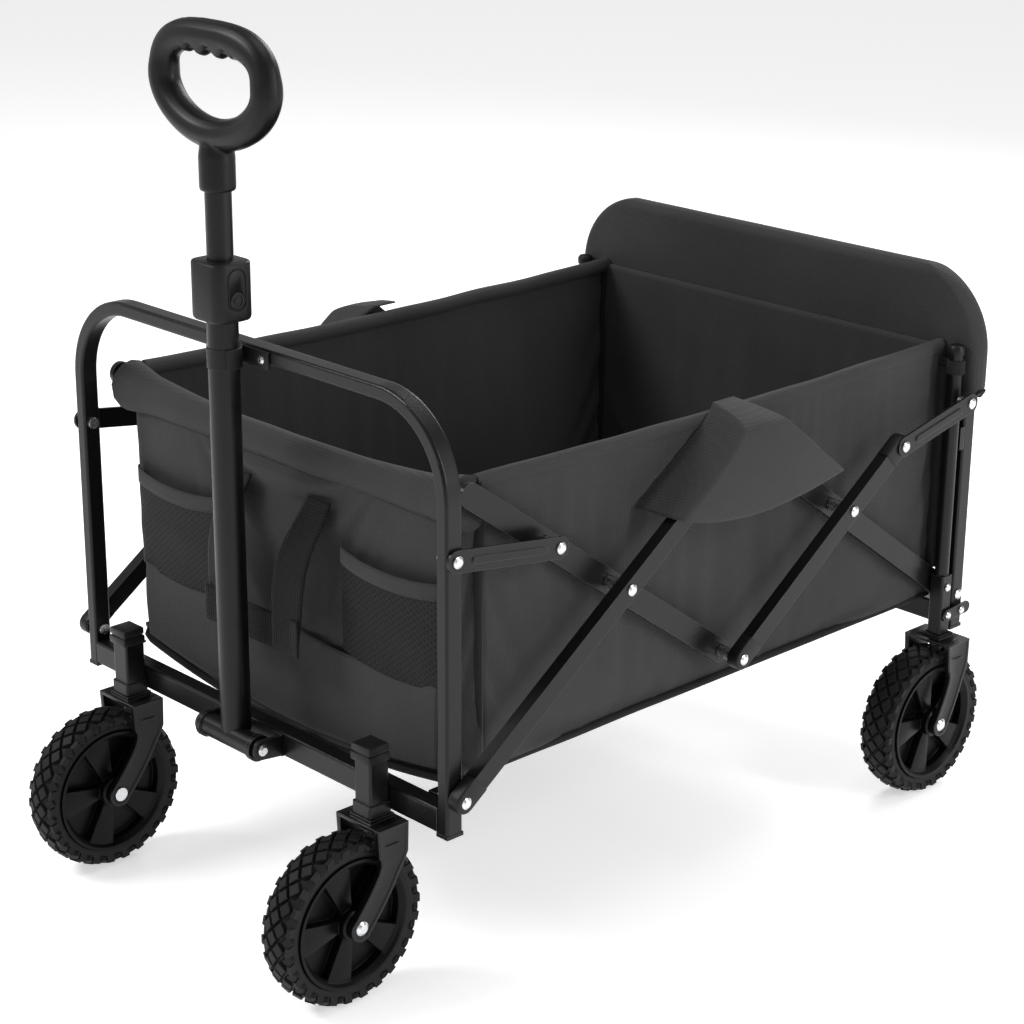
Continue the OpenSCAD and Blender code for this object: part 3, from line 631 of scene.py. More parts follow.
class WAGON_OT_forks(bpy.types.Operator):
    """Pressed forks: a boxed crown with two curved cheeks"""

    bl_idname = "wagon.forks"
    bl_label = "Forks"
    arm_width = 0.025
    boss = 0.0135
    flange = 0.0195

    def execute(self, context):
        sizes = context.scene.wagon_wheels
        for end in ENDS:
            for side, _sign in SIDES:
                fork, wheel = f"{end}_fork_{side}", middle(f"{end}_tyre_{side}")
                tyre_low, tyre_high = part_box(f"{end}_tyre_{side}")
                body = f"front_{side}_caster" if end == "front" else "rear"
                crown = tyre_high.z + 0.005
                post_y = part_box(fork)[1].y - 0.02
                gap = (tyre_high.x - tyre_low.x) / 2 + 0.0035
                bm = bmesh.new()
                for face in (-1, 1):
                    self.cheek(bm, face, wheel, post_y, crown, gap, sizes.cheek)
                slab(
                    bm, (wheel.x - gap - 0.002, post_y - self.flange, crown - 0.0005),
                    (wheel.x + gap + 0.002, post_y + self.flange, crown + 0.0032),
                )
                soften(bm, 0.0014, 2, 30)
                collar = 0.0152 if end == "front" else 0.012
                slab(
                    bm, (wheel.x - collar, post_y - collar, crown + 0.002),
                    (wheel.x + collar, post_y + collar, crown + 0.0072),
                )
                solid(bm, f"fork_{end}_{side}", FINISHES["powder_coat"], body, [fork])
        return {"FINISHED"}

    def cheek(self, bm, face, wheel, post_y, crown, gap, thick):
        """One cheek: crown flange, arm bent back to the axle, round boss."""
        top = Vector((post_y, crown - 0.022))
        low = Vector((wheel.y, wheel.z))
        bend = Vector((post_y + 0.005, wheel.z + 0.052))
        steps = 8
        ahead, behind = [], []
        for i in range(1, steps + 1):
            t = i / steps
            spot = top * (1 - t) ** 2 + bend * 2 * t * (1 - t) + low * t * t
            way = ((bend - top) * (1 - t) + (low - bend) * t).normalized()
            across = Vector((-way.y, way.x)) * lerp(self.flange, self.arm_width / 2, ease(t * 2.2))
            ahead.append(spot + across)
            behind.append(spot - across)
        turned = ahead[-1] - low
        start = math.atan2(turned.y, turned.x)
        round_end = [
            low + Vector((math.cos(start - math.pi * i / 12), math.sin(start - math.pi * i / 12))) * self.boss
            for i in range(1, 12)
        ]
        brow = [(post_y - self.flange, crown + 0.003), (post_y + self.flange, crown + 0.003)]
        if ahead[0].x > behind[0].x:
            brow.reverse()
        outline = [Vector(brow[0])] + ahead + round_end + behind[::-1] + [Vector(brow[1])]
        x = wheel.x + face * gap
        moved = set(extruded(bm, [(x, p.x, p.y) for p in outline], (face * thick, 0, 0)))
        plate = [f for v in moved for f in v.link_faces if all(w in moved for w in f.verts)][:1]
        bmesh.ops.recalc_face_normals(bm, faces=bm.faces)
        bmesh.ops.inset_region(bm, faces=plate, thickness=0.0034, depth=0.0)
        bmesh.ops.inset_region(bm, faces=plate, thickness=0.0008, depth=-0.0012)
        seam = Vector((post_y, crown - 0.017))
        outer = x + face * thick
        slab(bm, (outer - 0.0003, seam.x - 0.008, seam.y), (outer + 0.0005, seam.x + 0.008, seam.y + 0.0012))


# ---------- handle ----------


class WAGON_OT_grip(bpy.types.Operator):
    """O-shaped grip moulded in one with its neck, grooved for the fingers"""

    bl_idname = "wagon.grip"
    bl_label = "Grip"
    bar = 0.0155  # radius of the ring's section
    neck = 0.038  # height of the socket under the ring
    finger = 0.027  # spacing of the finger grooves

    def execute(self, context):
        depth = context.scene.wagon_handle.scallop
        low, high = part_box("handle_grip")
        tube_low, tube_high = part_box("handle_inner_tube")
        centre_y = (tube_low.y + tube_high.y) / 2
        bar = self.bar
        half, ring_low = (high.x - low.x) / 2 - bar + 0.005, low.z + self.neck
        mid = (high.z + ring_low) / 2
        rise = (high.z - ring_low) / 2 - bar
        points = []
        steps = 72
        for i in range(steps):
            angle = 2 * math.pi * i / steps
            c, s = math.cos(angle), math.sin(angle)
            power = 2 / 2.9 if s > 0 else 2 / 2.05
            drawn_in = 1 - 0.10 * max(-s, 0)
            points.append(
                (
                    math.copysign(abs(c) ** power, c) * half * drawn_in, centre_y,
                    mid + math.copysign(abs(s) ** power, s) * rise,
                )
            )
        ring = swept(
            "handle_grip_moulded", points, bar, FINISHES["grip_plastic"], "handle_inner",
            cyclic=True, replaced=["handle_grip"],
        )
        bm = bmesh.new()
        bm.from_mesh(ring.data)
        neck = [
            (low.z, 0.0132), (low.z, 0.0165), (low.z + 0.002, 0.0176), (ring_low - 0.004, 0.0176),
            (ring_low + 0.005, 0.016), (ring_low + 0.014, 0.011), (ring_low + 0.014, 0.005),
            (low.z + 0.02, 0.005), (low.z + 0.02, 0.0132),
        ]
        spun(bm, neck, (0, centre_y, 0), Z_AXIS, 48)
        bmesh.ops.recalc_face_normals(bm, faces=bm.faces)
        bm.to_mesh(ring.data)
        bm.free()
        one = ring.modifiers.new("one", "REMESH")
        one.mode = "VOXEL"
        one.voxel_size = 0.0016
        flow = ring.modifiers.new("flow", "SMOOTH")
        flow.factor = 0.6
        flow.iterations = 9
        applied(ring)
        inner_top = mid + rise - bar
        for v in ring.data.vertices:
            under = ease((inner_top + 0.012 - v.co.z) / 0.012) * ease((v.co.z - mid) / 0.012)
            inside = ease((0.041 - abs(v.co.x)) / 0.01)
            v.co.z -= depth * under * inside * (0.35 - math.cos(2 * math.pi * v.co.x / self.finger))
            flat = 1 - 0.1 * ease(abs(v.co.z - mid) / 0.02) * ease((v.co.z - mid) / 0.02)
            v.co.y = centre_y + (v.co.y - centre_y) * flat
        ring.data.shade_smooth()
        return {"FINISHED"}


class WAGON_OT_lock(bpy.types.Operator):
    """Lock collar with an oval line round its push button, and the clip round the band below"""

    bl_idname = "wagon.lock"
    bl_label = "Telescope lock and clip"
    radius = 0.0112  # half width of the sunk oval
    rise = 0.02  # height between the oval's half circles
    sunk = 0.0016
    bore = 0.009  # radius of the button's bore

    def execute(self, context):
        low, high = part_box("lock_collar")
        self.collar(low, high, context.scene.wagon_handle.line)
        self.clip()
        return {"FINISHED"}

    def oval(self, place, radius):
        """Outline of two half circles, one above the other, in the collar's side."""
        points, steps = [], 24
        for start, up in ((0, self.rise), (math.pi, 0)):
            centre = place + Vector((0, 0, up))
            for i in range(steps + 1):
                angle = start + math.pi * i / steps
                points.append(centre + Vector((0, math.cos(angle), math.sin(angle))) * radius)
        return points

    def button_bore(self, bm, start, end, place):
        rod(bm, (start, place.y, place.z), (end, place.y, place.z), self.bore, 40)

    def collar(self, low, high, line):
        """The collar, its sunk oval, the raised panel in the oval and the round button."""
        button = middle("lock_button")
        bm = bmesh.new()
        slab(bm, low, high)
        round_edges(bm, [e for e in bm.edges if abs(e.verts[0].co.z - e.verts[1].co.z) > 0.01], 0.013, 5)
        for level, reach in ((low.z, 0.0045), (high.z, 0.0022)):
            rim = [e for e in bm.edges if all(abs(v.co.z - level) < NEAR for v in e.verts)]
            round_edges(bm, rim, reach, 3)
        finish = FINISHES["moulded_black"]
        collar = solid(bm, "lock_collar_moulded", finish, "handle", ["lock_collar"])
        place = Vector((high.x, (low.y + high.y) / 2, button.z))
        cut = bmesh.new()
        extruded(cut, self.oval(place - Vector((self.sunk, 0, 0)), self.radius), (0.01, 0, 0))
        self.button_bore(cut, button.x - 0.004, high.x + 0.004, place)
        carved(collar, solid(cut, "recess", finish, "handle"))
        collar.data.set_sharp_from_angle(angle=math.radians(30))
        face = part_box("lock_button")[1].x
        bm = bmesh.new()
        ring = [
            (face - 0.005, 0.0083), (face - 0.0012, 0.0083), (face - 0.0002, 0.0074), (face - 0.0002, 0.0062),
            (face - 0.0018, 0.0054), (face - 0.0018, 0.0032), (face - 0.0006, 0.0028), (face - 0.0006, 0.0),
            (face - 0.005, 0.0),
        ]
        spun(bm, ring, (0, place.y, button.z), X_AXIS, 48)
        bmesh.ops.remove_doubles(bm, verts=bm.verts, dist=NEAR / 2)
        solid(bm, "lock_button_moulded", finish, "lock_button", ["lock_button"])
        bm = bmesh.new()
        extruded(bm, self.oval(place - Vector((0.0022, 0, 0)), self.radius - line), (0.0019, 0, 0))
        soften(bm, 0.0006, 2, 40)
        panel = solid(bm, "lock_panel", finish, "handle")
        hole = bmesh.new()
        self.button_bore(hole, high.x - 0.004, high.x + 0.004, place)
        carved(panel, solid(hole, "button_hole", finish, "handle"))

    def clip(self):
        """Moulded clip: a back plate with screwed ears and two curved jaws round the band."""
        low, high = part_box("handle_clip")
        tube_low, tube_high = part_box("handle_tube")
        centre = (tube_low + tube_high) / 2
        radius = (tube_high.x - tube_low.x) / 2
        bm = bmesh.new()
        plate = high.y - 0.003
        slab(bm, (low.x, plate, low.z + 0.001), (high.x, high.y, high.z - 0.001))
        soften(bm, 0.0012)
        jaws = bmesh.new()
        for side in (-1, 1):
            start = jaws.verts.new((0, centre.y + radius + 0.0026, low.z))
            end = jaws.verts.new((0, centre.y + radius + 0.0006, low.z))
            lower = jaws.edges.new((start, end))
            bmesh.ops.spin(
                jaws, geom=[start, end, lower], cent=(0, centre.y, low.z), axis=(0, 0, 1),
                angle=side * math.radians(118), steps=20, use_merge=False,
            )
        raised = bmesh.ops.extrude_face_region(jaws, geom=jaws.faces[:])["geom"]
        bmesh.ops.translate(
            jaws, vec=(0, 0, high.z - low.z), verts=[g for g in raised if isinstance(g, bmesh.types.BMVert)]
        )
        bmesh.ops.recalc_face_normals(jaws, faces=jaws.faces)
        merged(bm, jaws)
        solid(bm, "handle_clip_moulded", FINISHES["moulded_black"], "front", ["handle_clip"])


# ---------- caps ----------


class WAGON_OT_caps(bpy.types.Operator):
    """Stepped caps on the front posts, plugs in the legs and moulded ends on the thick struts"""

    bl_idname = "wagon.caps"
    bl_label = "Caps and strut ends"

    def execute(self, context):
        posts_low, posts_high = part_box("front_posts")
        bm = bmesh.new()
        half, y = 0.014, (posts_low.y + posts_high.y) / 2
        across = posts_high.x - half
        base = posts_high.z - 0.004
        # each step of a cap: how far it is set in across and along, its foot and its top
        steps = ((0, 0, 0, 0.0085), (0.0022, 0.002, 0.0075, 0.0105), (0.0006, 0.0006, 0.0098, 0.0175))
        for side in (-1, 1):
            for inset, shy, foot, top in steps:
                slab(
                    bm, (side * across - half + inset, y - half + shy, base + foot),
                    (side * across + half - inset, y + half - shy - 0.001, base + top),
                )
        soften(bm, 0.0016)
        self.plugs(bm, "front_frame")
        solid(bm, "post_caps", FINISHES["moulded_black"], "front", ["front_end_caps"])
        bm = bmesh.new()
        self.plugs(bm, "rear_frame")
        pole_low, pole_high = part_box("rear_poles")
        for side in (-1, 1):
            centre = (side * (pole_high.x - POLE_RADIUS), (pole_low.y + pole_high.y) / 2, pole_high.z)
            dome = [
                (-0.004, 0.0), (-0.004, 0.0091), (0.003, 0.0094), (0.006, 0.0075), (0.0072, 0.004),
                (0.0074, 0.0),
            ]
            spun(bm, dome, centre, Z_AXIS, 32)
        bmesh.ops.remove_doubles(bm, verts=bm.verts, dist=NEAR / 2)
        solid(bm, "pole_caps", FINISHES["moulded_black"], "rear", ["rear_end_caps"])
        self.strut_ends()
        return {"FINISHED"}

    def plugs(self, bm, leg_node):
        """A plug in the foot of each leg of a bent tube."""
        low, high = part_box(leg_node)
        half, proud = TUBE_WIDTH / 2 + 0.0003, 0.0003
        for side in (-1, 1):
            x = side * (high.x - TUBE_WIDTH / 2)
            slab(bm, (x - half, low.y - proud, low.z - 0.003), (x + half, high.y + proud, low.z + 0.001))

    def strut_ends(self):
        """A moulded end over each end of the thick struts, a little larger than the tube."""
        length, r = 0.026, STRUT_FACE / 2
        for label, body, count in (
            ("front_long_strut", "front_long_struts", 1), ("rear_cross_strut", "rear_cross_struts", 2),
        ):
            bm = bmesh.new()
            for side, sign in SIDES:
                low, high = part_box(f"{label}_{side}")
                first, last = Vector((low.y + r, low.z + r)), Vector((high.y - r, high.z - r))
                inner, outer = (low.x, high.x) if sign > 0 else (high.x, low.x)
                outer += sign * 0.0011
                for pivot, other in ((first, last), (last, first))[:count]:
                    way = (other - pivot).normalized()
                    self.strut_end(bm, pivot, way, r + 0.0016, length, inner, outer)
            bmesh.ops.recalc_face_normals(bm, faces=bm.faces)
            soften(bm, 0.0022, 3, 40)
            solid(bm, f"{label}_ends", FINISHES["moulded_black"], body)

    def strut_end(self, bm, pivot, way, radius, length, inner, outer):
        """A round end that runs on along the strut."""
        start = math.atan2(way.y, way.x) + math.pi / 2
        spots = [
            pivot + Vector((math.cos(start + math.pi * i / 10), math.sin(start + math.pi * i / 10))) * radius
            for i in range(11)
        ]
        sideways = Vector((-way.y, way.x)) * radius
        spots += [pivot + way * length - sideways, pivot + way * (length - 0.004) + sideways]
        extruded(bm, [(inner, p.x, p.y) for p in spots], (outer - inner, 0, 0))


# ---------- cloth ----------


class Basket:
    """Places that the cloth pieces share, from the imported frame."""

    def __init__(self, sizes):
        wall_low, wall_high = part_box("side_wall_right")
        self.half = wall_high.x
        self.front_y = wall_low.y - 0.002
        self.rear_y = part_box("rear_wall")[0].y + 0.001
        self.rim = wall_high.z - 0.004
        self.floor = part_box("base_mat")[0].z
        self.corner = sizes.corner
        self.cuff_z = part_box("front_wall")[1].z - 0.019
        self.side_start = self.front_y + self.corner


def squash_with_fold(piece, basket):
    """Gives a piece a mesh of its own."""
    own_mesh(piece)


def front_line(basket, u):
    """Point and outward direction along the front wall's curve, from left corner to right."""
    straight = 2 * (basket.half - basket.corner)
    bend = math.pi / 2 * basket.corner
    run = u * (straight + 2 * bend)
    inner = basket.half - basket.corner
    if run < bend or run > bend + straight:
        side = -1 if run < bend else 1
        angle = (run if side < 0 else straight + 2 * bend - run) / basket.corner
        out = Vector((side * math.cos(angle), -math.sin(angle)))
        return Vector((side * inner, basket.side_start)) + out * basket.corner, out
    return Vector((run - bend - inner, basket.front_y)), Vector((0, -1))


def hang(pieces, steps=16):
    """Lets the cloth settle under its own weight, all pieces in one run, and keeps the result."""
    scene = bpy.context.scene
    starts = {}
    for piece, pinned, slack, _reach in pieces:
        starts[piece] = [v.co.copy() for v in piece.data.vertices]
        group = piece.vertex_groups.new(name="pinned")
        group.add([i for i, co in enumerate(starts[piece]) if pinned(co)], 1.0, "REPLACE")
        cloth = piece.modifiers.new("hang", "CLOTH").settings
        cloth.quality = 5
        cloth.mass = 0.25
        cloth.tension_stiffness = 18
        cloth.compression_stiffness = 18
        cloth.bending_stiffness = 1.5
        cloth.vertex_group_mass = group.name
        cloth.shrink_min = -slack
    for frame_number in range(1, steps + 1):
        scene.frame_set(frame_number)
    for piece, _pinned, _slack, reach in pieces:
        applied(piece)
        for v, start in zip(piece.data.vertices, starts[piece]):
            moved = v.co - start
            if moved.length > reach:
                v.co = start + moved * (reach / moved.length)
    scene.frame_set(1)


class WAGON_OT_walls(bpy.types.Operator):
    """Front and side walls of the basket, hung with a little slack"""

    bl_idname = "wagon.walls"
    bl_label = "Basket walls"
    cuff_dip = 0.011  # how far the cuff bows down between its ends
    rim_dip = 0.004
    sleeve = (0.264, 0.35, 0.43, 0.5)  # heights along the sleeve at a rear corner

    def execute(self, context):
        sizes = context.scene.wagon_cloth
        basket = Basket(sizes)
        front = self.front(basket, sizes)
        sides = [self.side(basket, side, sign) for side, sign in SIDES]
        rear = self.rear(basket)
        self.settle(basket, sizes, front, sides, rear)
        self.front_edges(basket, sizes)
        for side, sign in SIDES:
            self.side_edges(basket, sizes, side, sign)
        for piece in (front, rear, *sides):
            thicken(piece, sizes.thick)
            piece.data.shade_smooth()
        for (side, _sign), piece in zip(SIDES, sides):
            sewn = [f"side_hem_{side}", f"side_piping_{side}"]
            for part in (piece, *(bpy.data.objects[name] for name in sewn)):
                squash_with_fold(part, basket)
        return {"FINISHED"}

    def front(self, basket, sizes):
        """Front wall: round both corners, its bottom edge bowed down."""

        def place(u, v):
            spot, out = front_line(basket, u)
            bottom = basket.floor - 0.003 - sizes.droop * bow(u)
            top = basket.cuff_z - self.cuff_dip * bow(u)
            belly = 0.007 * bow(u) * math.sin(math.pi * (0.2 + 0.8 * (1 - v)))
            spot = spot + out * (belly + ripple((u, v, 0.3), 0.35, 0.0018))
            return Vector((spot.x, spot.y, lerp(bottom, top, v)))

        bm = cloth_grid(104, 56, place)
        return solid(
            bm, "front_wall_cloth", FINISHES["front_cloth"], "front", ["front_wall"],
            outward=False,
        )

    def side(self, basket, side, sign):
        """Side wall: drawn in a little between its edges, so it stays clear of the struts."""

        def place(u, v):
            y = lerp(basket.side_start, basket.rear_y - 0.001, u)
            z = lerp(basket.floor - 0.001, basket.rim - 0.003 - self.rim_dip * bow(u), v)
            dent = self.dent((u * 3, v * 1.4, sign * 4), 0.6, u, v)
            return Vector((sign * (basket.half - 0.0008 - dent), y, z))

        bm = cloth_grid(112, 48, place)
        return solid(
            bm, f"side_wall_cloth_{side}", FINISHES["side_cloth"], "front",
            [f"side_wall_{side}"], outward=False,
        )

    def dent(self, point, reach, u, v):
        """How far a wall is drawn in, none at its edges."""
        return abs(ripple(point, reach, 0.004) * math.sin(math.pi * u) * math.sin(math.pi * v))

    def rear(self, basket):
        """Rear wall below the hood."""

        def place(u, v):
            x = (2 * u - 1) * (basket.half - 0.001)
            y = basket.rear_y - 0.003 - self.dent((u * 2, v, 7), 0.5, u, v)
            return Vector((x, y, lerp(basket.floor - 0.002, basket.rim, v)))

        bm = cloth_grid(64, 40, place)
        return solid(bm, "rear_wall_cloth", FINISHES["front_cloth"], "rear", outward=False)

    def settle(self, basket, sizes, front, sides, rear):
        """Hangs the walls from their sewn edges and keeps them inside the struts."""
        top = basket.cuff_z - 0.008
        edge = 0.004

        def front_held(co):
            return co.z > top or co.y > basket.side_start - edge or co.z < basket.floor - 0.028

        def side_held(co):
            near_end = co.y < basket.side_start + edge or co.y > basket.rear_y - edge
            return near_end or co.z < basket.floor + edge or co.z > basket.rim - 0.010

        def rear_held(co):
            return abs(co.x) > basket.half - 0.012 or co.z < basket.floor + edge or co.z > basket.rim - edge

        hang(
            [(front, front_held, sizes.slack, 0.010), (rear, rear_held, sizes.slack, 0.008)]
            + [(piece, side_held, sizes.slack, 0.008) for piece in sides]
        )
        for piece in sides:
            for v in piece.data.vertices:
                if abs(v.co.x) > basket.half:
                    v.co.x = math.copysign(basket.half, v.co.x)
        for v in rear.data.vertices:
            v.co.y = min(v.co.y, basket.rear_y - 0.003)

    def front_edges(self, basket, sizes):
        """Rolled cuff along the top and bound edge along the bottom of the front wall."""
        steps = 48
        cuff, bound = [], []
        for i in range(steps + 1):
            u = i / steps
            level = basket.cuff_z + 0.001 - self.cuff_dip * bow(u) ** 0.7
            cuff.append(Vector(((2 * u - 1) * (basket.half + 0.001), basket.front_y + 0.002, level)))
            spot, out = front_line(basket, u)
            spot = spot + out * 0.00408 * bow(u)
            bound.append(Vector((spot.x, spot.y, basket.floor - 0.003 - sizes.droop * bow(u))))

        def rolled(point):
            slim = lerp(0.80, 1.0, ease((abs(point.x) - 0.10) / (basket.half - 0.12)))
            return slim * lerp(1.0, 1.3, ease((abs(point.x) - basket.half + 0.05) / 0.05))

        cloth, slot = FINISHES["front_cloth"], "oxford_cloth"
        roll = swept("front_cuff", cuff, sizes.cuff, cloth, "front", squeeze=rolled)
        for v in roll.data.vertices:
            level = basket.cuff_z - self.cuff_dip * max(bow((v.co.x / basket.half + 1) / 2), 0) ** 0.7
            v.co.y += ripple((v.co.x * 9, v.co.z * 4, 1), 0.5, 0.0016)
            v.co.z = level + (v.co.z - level) * (1.0 if v.co.z > level else 1.35)
        swept("front_binding", bound, sizes.piping, FINISHES["binding"], "front")

    def side_edges(self, basket, sizes, side, sign):
        """Rolled rim, bound edge and the sleeve at the rear corner of one side wall."""
        steps, ends = 48, 12
        x = sign * (basket.half - 0.0035)
        rim, base = [], []
        for i in range(steps + 1):
            u = i / steps
            y = lerp(basket.side_start - 0.006, basket.rear_y - 0.002, u)
            level = basket.rim - 0.002 - self.rim_dip * bow(u) + ripple((y * 6, 0, sign), 0.5, 0.0012)
            rim.append(Vector((x - sign * 0.002, y, level)))
            base.append(Vector((x, y, basket.floor + ripple((y * 5, 2, sign), 0.5, 0.001))))
        hem = swept(f"side_hem_{side}", rim, sizes.hem, FINISHES["side_cloth"], "front")
        for v in hem.data.vertices:
            v.co.z = basket.rim - 0.003 + (v.co.z - basket.rim + 0.003) * 1.3
        x = sign * (basket.half - 0.0022)
        heights = [lerp(basket.floor, basket.rim, i / ends) for i in range(ends + 1)]
        front_end = [Vector((x, basket.side_start - 0.004, z)) for z in reversed(heights)]
        rear_end = [Vector((x, basket.rear_y - 0.004, z)) for z in heights]
        post_x, post_y = sign * (basket.half + 0.0065), basket.rear_y - 0.009
        corner = [Vector((post_x, post_y, z)) for z in self.sleeve]
        swept(f"corner_sleeve_{side}", corner, 0.0072, FINISHES["binding"], "rear")
        swept(
            f"side_piping_{side}", front_end + base[1:-1] + rear_end, sizes.piping, FINISHES["binding"],
            "front",
        )


class WAGON_OT_hood(bpy.types.Operator):
    """Hood: a pocket of cloth drawn down over the top of the rear frame, and loops round the poles"""

    bl_idname = "wagon.hood"
    bl_label = "Rear hood"

    def execute(self, context):
        sizes = context.scene.wagon_cloth
        basket = Basket(sizes)
        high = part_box("rear_wall")[1]
        frame_low, frame_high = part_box("rear_frame")
        bottom, bend, turn = 0.462, 0.092, 0.018
        middle_y = (frame_low.y + frame_high.y) / 2
        deep = (frame_high.y - frame_low.y) / 2 + 0.003
        roll = 0.012
        bm = bmesh.new()
        for face in (-1, 1):
            made = bmesh.ops.create_grid(bm, x_segments=84, y_segments=44, size=0.5)["verts"]
            for v in made:
                u, t = v.co.x + 0.5, crowd(v.co.y + 0.5)
                z = lerp(bottom, high.z, t)
                over = max(z - (high.z - bend), 0)
                half = high.x - bend + math.sqrt(max(bend * bend - over * over, 0))
                under = max(turn - (z - bottom), 0)
                half -= turn - math.sqrt(max(turn * turn - under * under, 0))
                x = crowd(2 * u - 1) * half
                inward = min(half - abs(x), high.z - z, roll)
                swell = math.sqrt(max(1 - (1 - inward / roll) ** 2, 0))
                uneven = ripple((x * 7, z * 5, face * 3), 0.6, 0.003) * swell
                v.co = Vector((x, middle_y + face * (deep * swell + uneven * 0.6), z))
        bmesh.ops.remove_doubles(bm, verts=bm.verts, dist=0.0004)
        cloth = FINISHES["front_cloth"]
        hood = solid(bm, "rear_hood", cloth, "rear", ["rear_wall"], angle=60)
        thicken(hood, sizes.thick, -1)
        line = []
        for i in range(61):
            u = i / 60
            x = lerp(-high.x, high.x, u) * 0.997
            lift = max(turn - (high.x - abs(x)), 0)
            rise = turn - math.sqrt(max(turn * turn - lift * lift, 0))
            line.append(Vector((x, middle_y - deep * (1 - rise / turn), bottom + 0.001 + rise * 0.9)))
        back = [Vector((p.x, 2 * middle_y - p.y, p.z)) for p in reversed(line)]
        swept("hood_binding", line + back, 0.0022, FINISHES["binding"], "rear", cyclic=True)
        self.loops(basket)
        return {"FINISHED"}

    def loops(self, basket):
        """A webbing loop that ties each pole to the wall's corner."""
        low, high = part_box("rear_poles")
        y, x = (low.y + high.y) / 2, high.x - POLE_RADIUS
        level = basket.rim - 0.026
        for side, sign in SIDES:
            bm = bmesh.new()
            band = [(0, 0.0083), (0, 0.0102), (0.015, 0.0102), (0.015, 0.0083)]
            spun(bm, band, (sign * x, y, level), Z_AXIS, 40)
            slab(
                bm, (sign * (x - 0.024), y - 0.0012, level),
                (sign * (x - POLE_RADIUS), y + 0.0004, level + 0.015),
            )
            solid(bm, f"pole_loop_{side}", FINISHES["webbing"], "rear")


class WAGON_OT_pockets(bpy.types.Operator):
    """Mesh pockets and the webbing strap on the front wall"""

    bl_idname = "wagon.pockets"
    bl_label = "Pockets and strap"
    width = 0.15  # of a pocket
    lip = 0.017  # height of its hem
    band = 0.038  # width of the webbing
    bulge = 0.011  # how far the webbing bows out past its band

    def execute(self, context):
        basket = Basket(context.scene.wagon_cloth)
        low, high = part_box("front_pockets")
        depth = basket.front_y - low.y - 0.002
        inner = high.x - self.width
        for side, sign in SIDES:
            self.pocket(basket, side, sign, inner, high.x, low.z, high.z, depth)
            self.hem(basket, side, sign, inner, high.x, high.z, depth)
        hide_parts("front_pockets")
        self.panel(basket, low.z)
        self.strap(basket)
        return {"FINISHED"}

    def swell(self, x, u, v, sign, depth):
        """How far a pocket stands off the wall: none at its sides, most at its mouth."""
        full = (depth - 0.0045) * max(bow(u), 0) ** 0.45 * (0.35 + 0.65 * ease(v * 1.6))
        return full - ripple((x * 8, v * 2, sign), 0.5, 0.0012)

    def pocket(self, basket, side, sign, inner, outer, bottom, top, depth):
        """Mesh bag of one pocket."""

        def place(u, v):
            x = sign * lerp(inner, outer, u)
            y = basket.front_y - 0.0068 - self.swell(x, u, v, sign, depth)
            z = lerp(bottom - 0.006 * bow(u), top - 0.007 * bow(u), v)
            return Vector((x, y, z))

        bm = cloth_grid(44, 36, place)
        piece = solid(bm, f"pocket_mesh_{side}", FINISHES["mesh"], "front", outward=False)
        thicken(piece, 0.0009)
        return piece

    def hem(self, basket, side, sign, inner, outer, top, depth):
        """Folded band along the pocket's mouth."""

        def place(u, v):
            x = sign * lerp(inner, outer, u)
            y = basket.front_y - 0.0076 - self.swell(x, u, 1, sign, depth)
            return Vector((x, y, top - 0.007 * bow(u) - self.lip * (1 - v) + 0.0012))

        bm = cloth_grid(44, 3, place)
        piece = solid(
            bm, f"pocket_hem_{side}", FINISHES["front_cloth"], "front", outward=False
        )
        thicken(piece, 0.0018)

    def panel(self, basket, top):
        """Second layer of cloth sewn below the pockets, between two seams."""

        def place(u, v):
            half = basket.half - 0.03
            x = lerp(-half, half, u)
            y = basket.front_y - 0.0088 - 0.0018 * math.sin(math.pi * v) + ripple((x * 5, v, 9), 0.5, 0.0012)
            z = lerp(basket.floor + 0.002 - 0.022 * bow(u), top + 0.003 - 0.006 * bow(u * 2 % 1), v)
            return Vector((x, y, z))

        bm = cloth_grid(90, 18, place)
        piece = solid(bm, "front_kick_panel", FINISHES["front_cloth"], "front", outward=False)
        thicken(piece, 0.0012)

    def strap(self, basket):
        """U of wide webbing: two legs bowed off the wall, folded into a band across the bottom."""
        low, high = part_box("pull_strap")
        wide, webbing = self.band, FINISHES["webbing"]
        reach = basket.front_y - low.y + self.bulge
        legs = []
        for side, sign in SIDES:

            def leg(u, v, sign=sign):
                x = sign * (high.x - wide / 2 - 0.010 * (1 - v) ** 2) + (u - 0.5) * wide * lerp(1, 0.92, v)
                z = lerp(low.z + 0.002, high.z + 0.004, v)
                out = reach * math.sin(math.pi / 2 * min(1, (1 - v) * 1.5)) ** 1.1
                z += 0.010 * math.sin(math.pi * v) ** 2
                tilt = (u - 0.5) * sign * 0.010 * math.sin(math.pi * v)
                return Vector((x, basket.front_y - 0.0085 - out + tilt, z))

            bm = cloth_grid(8, 48, leg)
            legs.append(solid(bm, f"strap_leg_{side}", webbing, "front", outward=False))

        def band(u, v):
            x = lerp(-high.x + 0.006, high.x - 0.006, u)
            z = lerp(low.z, low.z + wide, v) - 0.004 * bow(u)
            return Vector((x, basket.front_y - 0.0105 - reach * (0.99 - 0.16 * bow(u)), z))

        bm = cloth_grid(40, 8, band)
        cross = solid(bm, "strap_band", webbing, "front", outward=False)
        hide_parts("pull_strap")
        for piece in (*legs, cross):
            thicken(piece, 0.002)


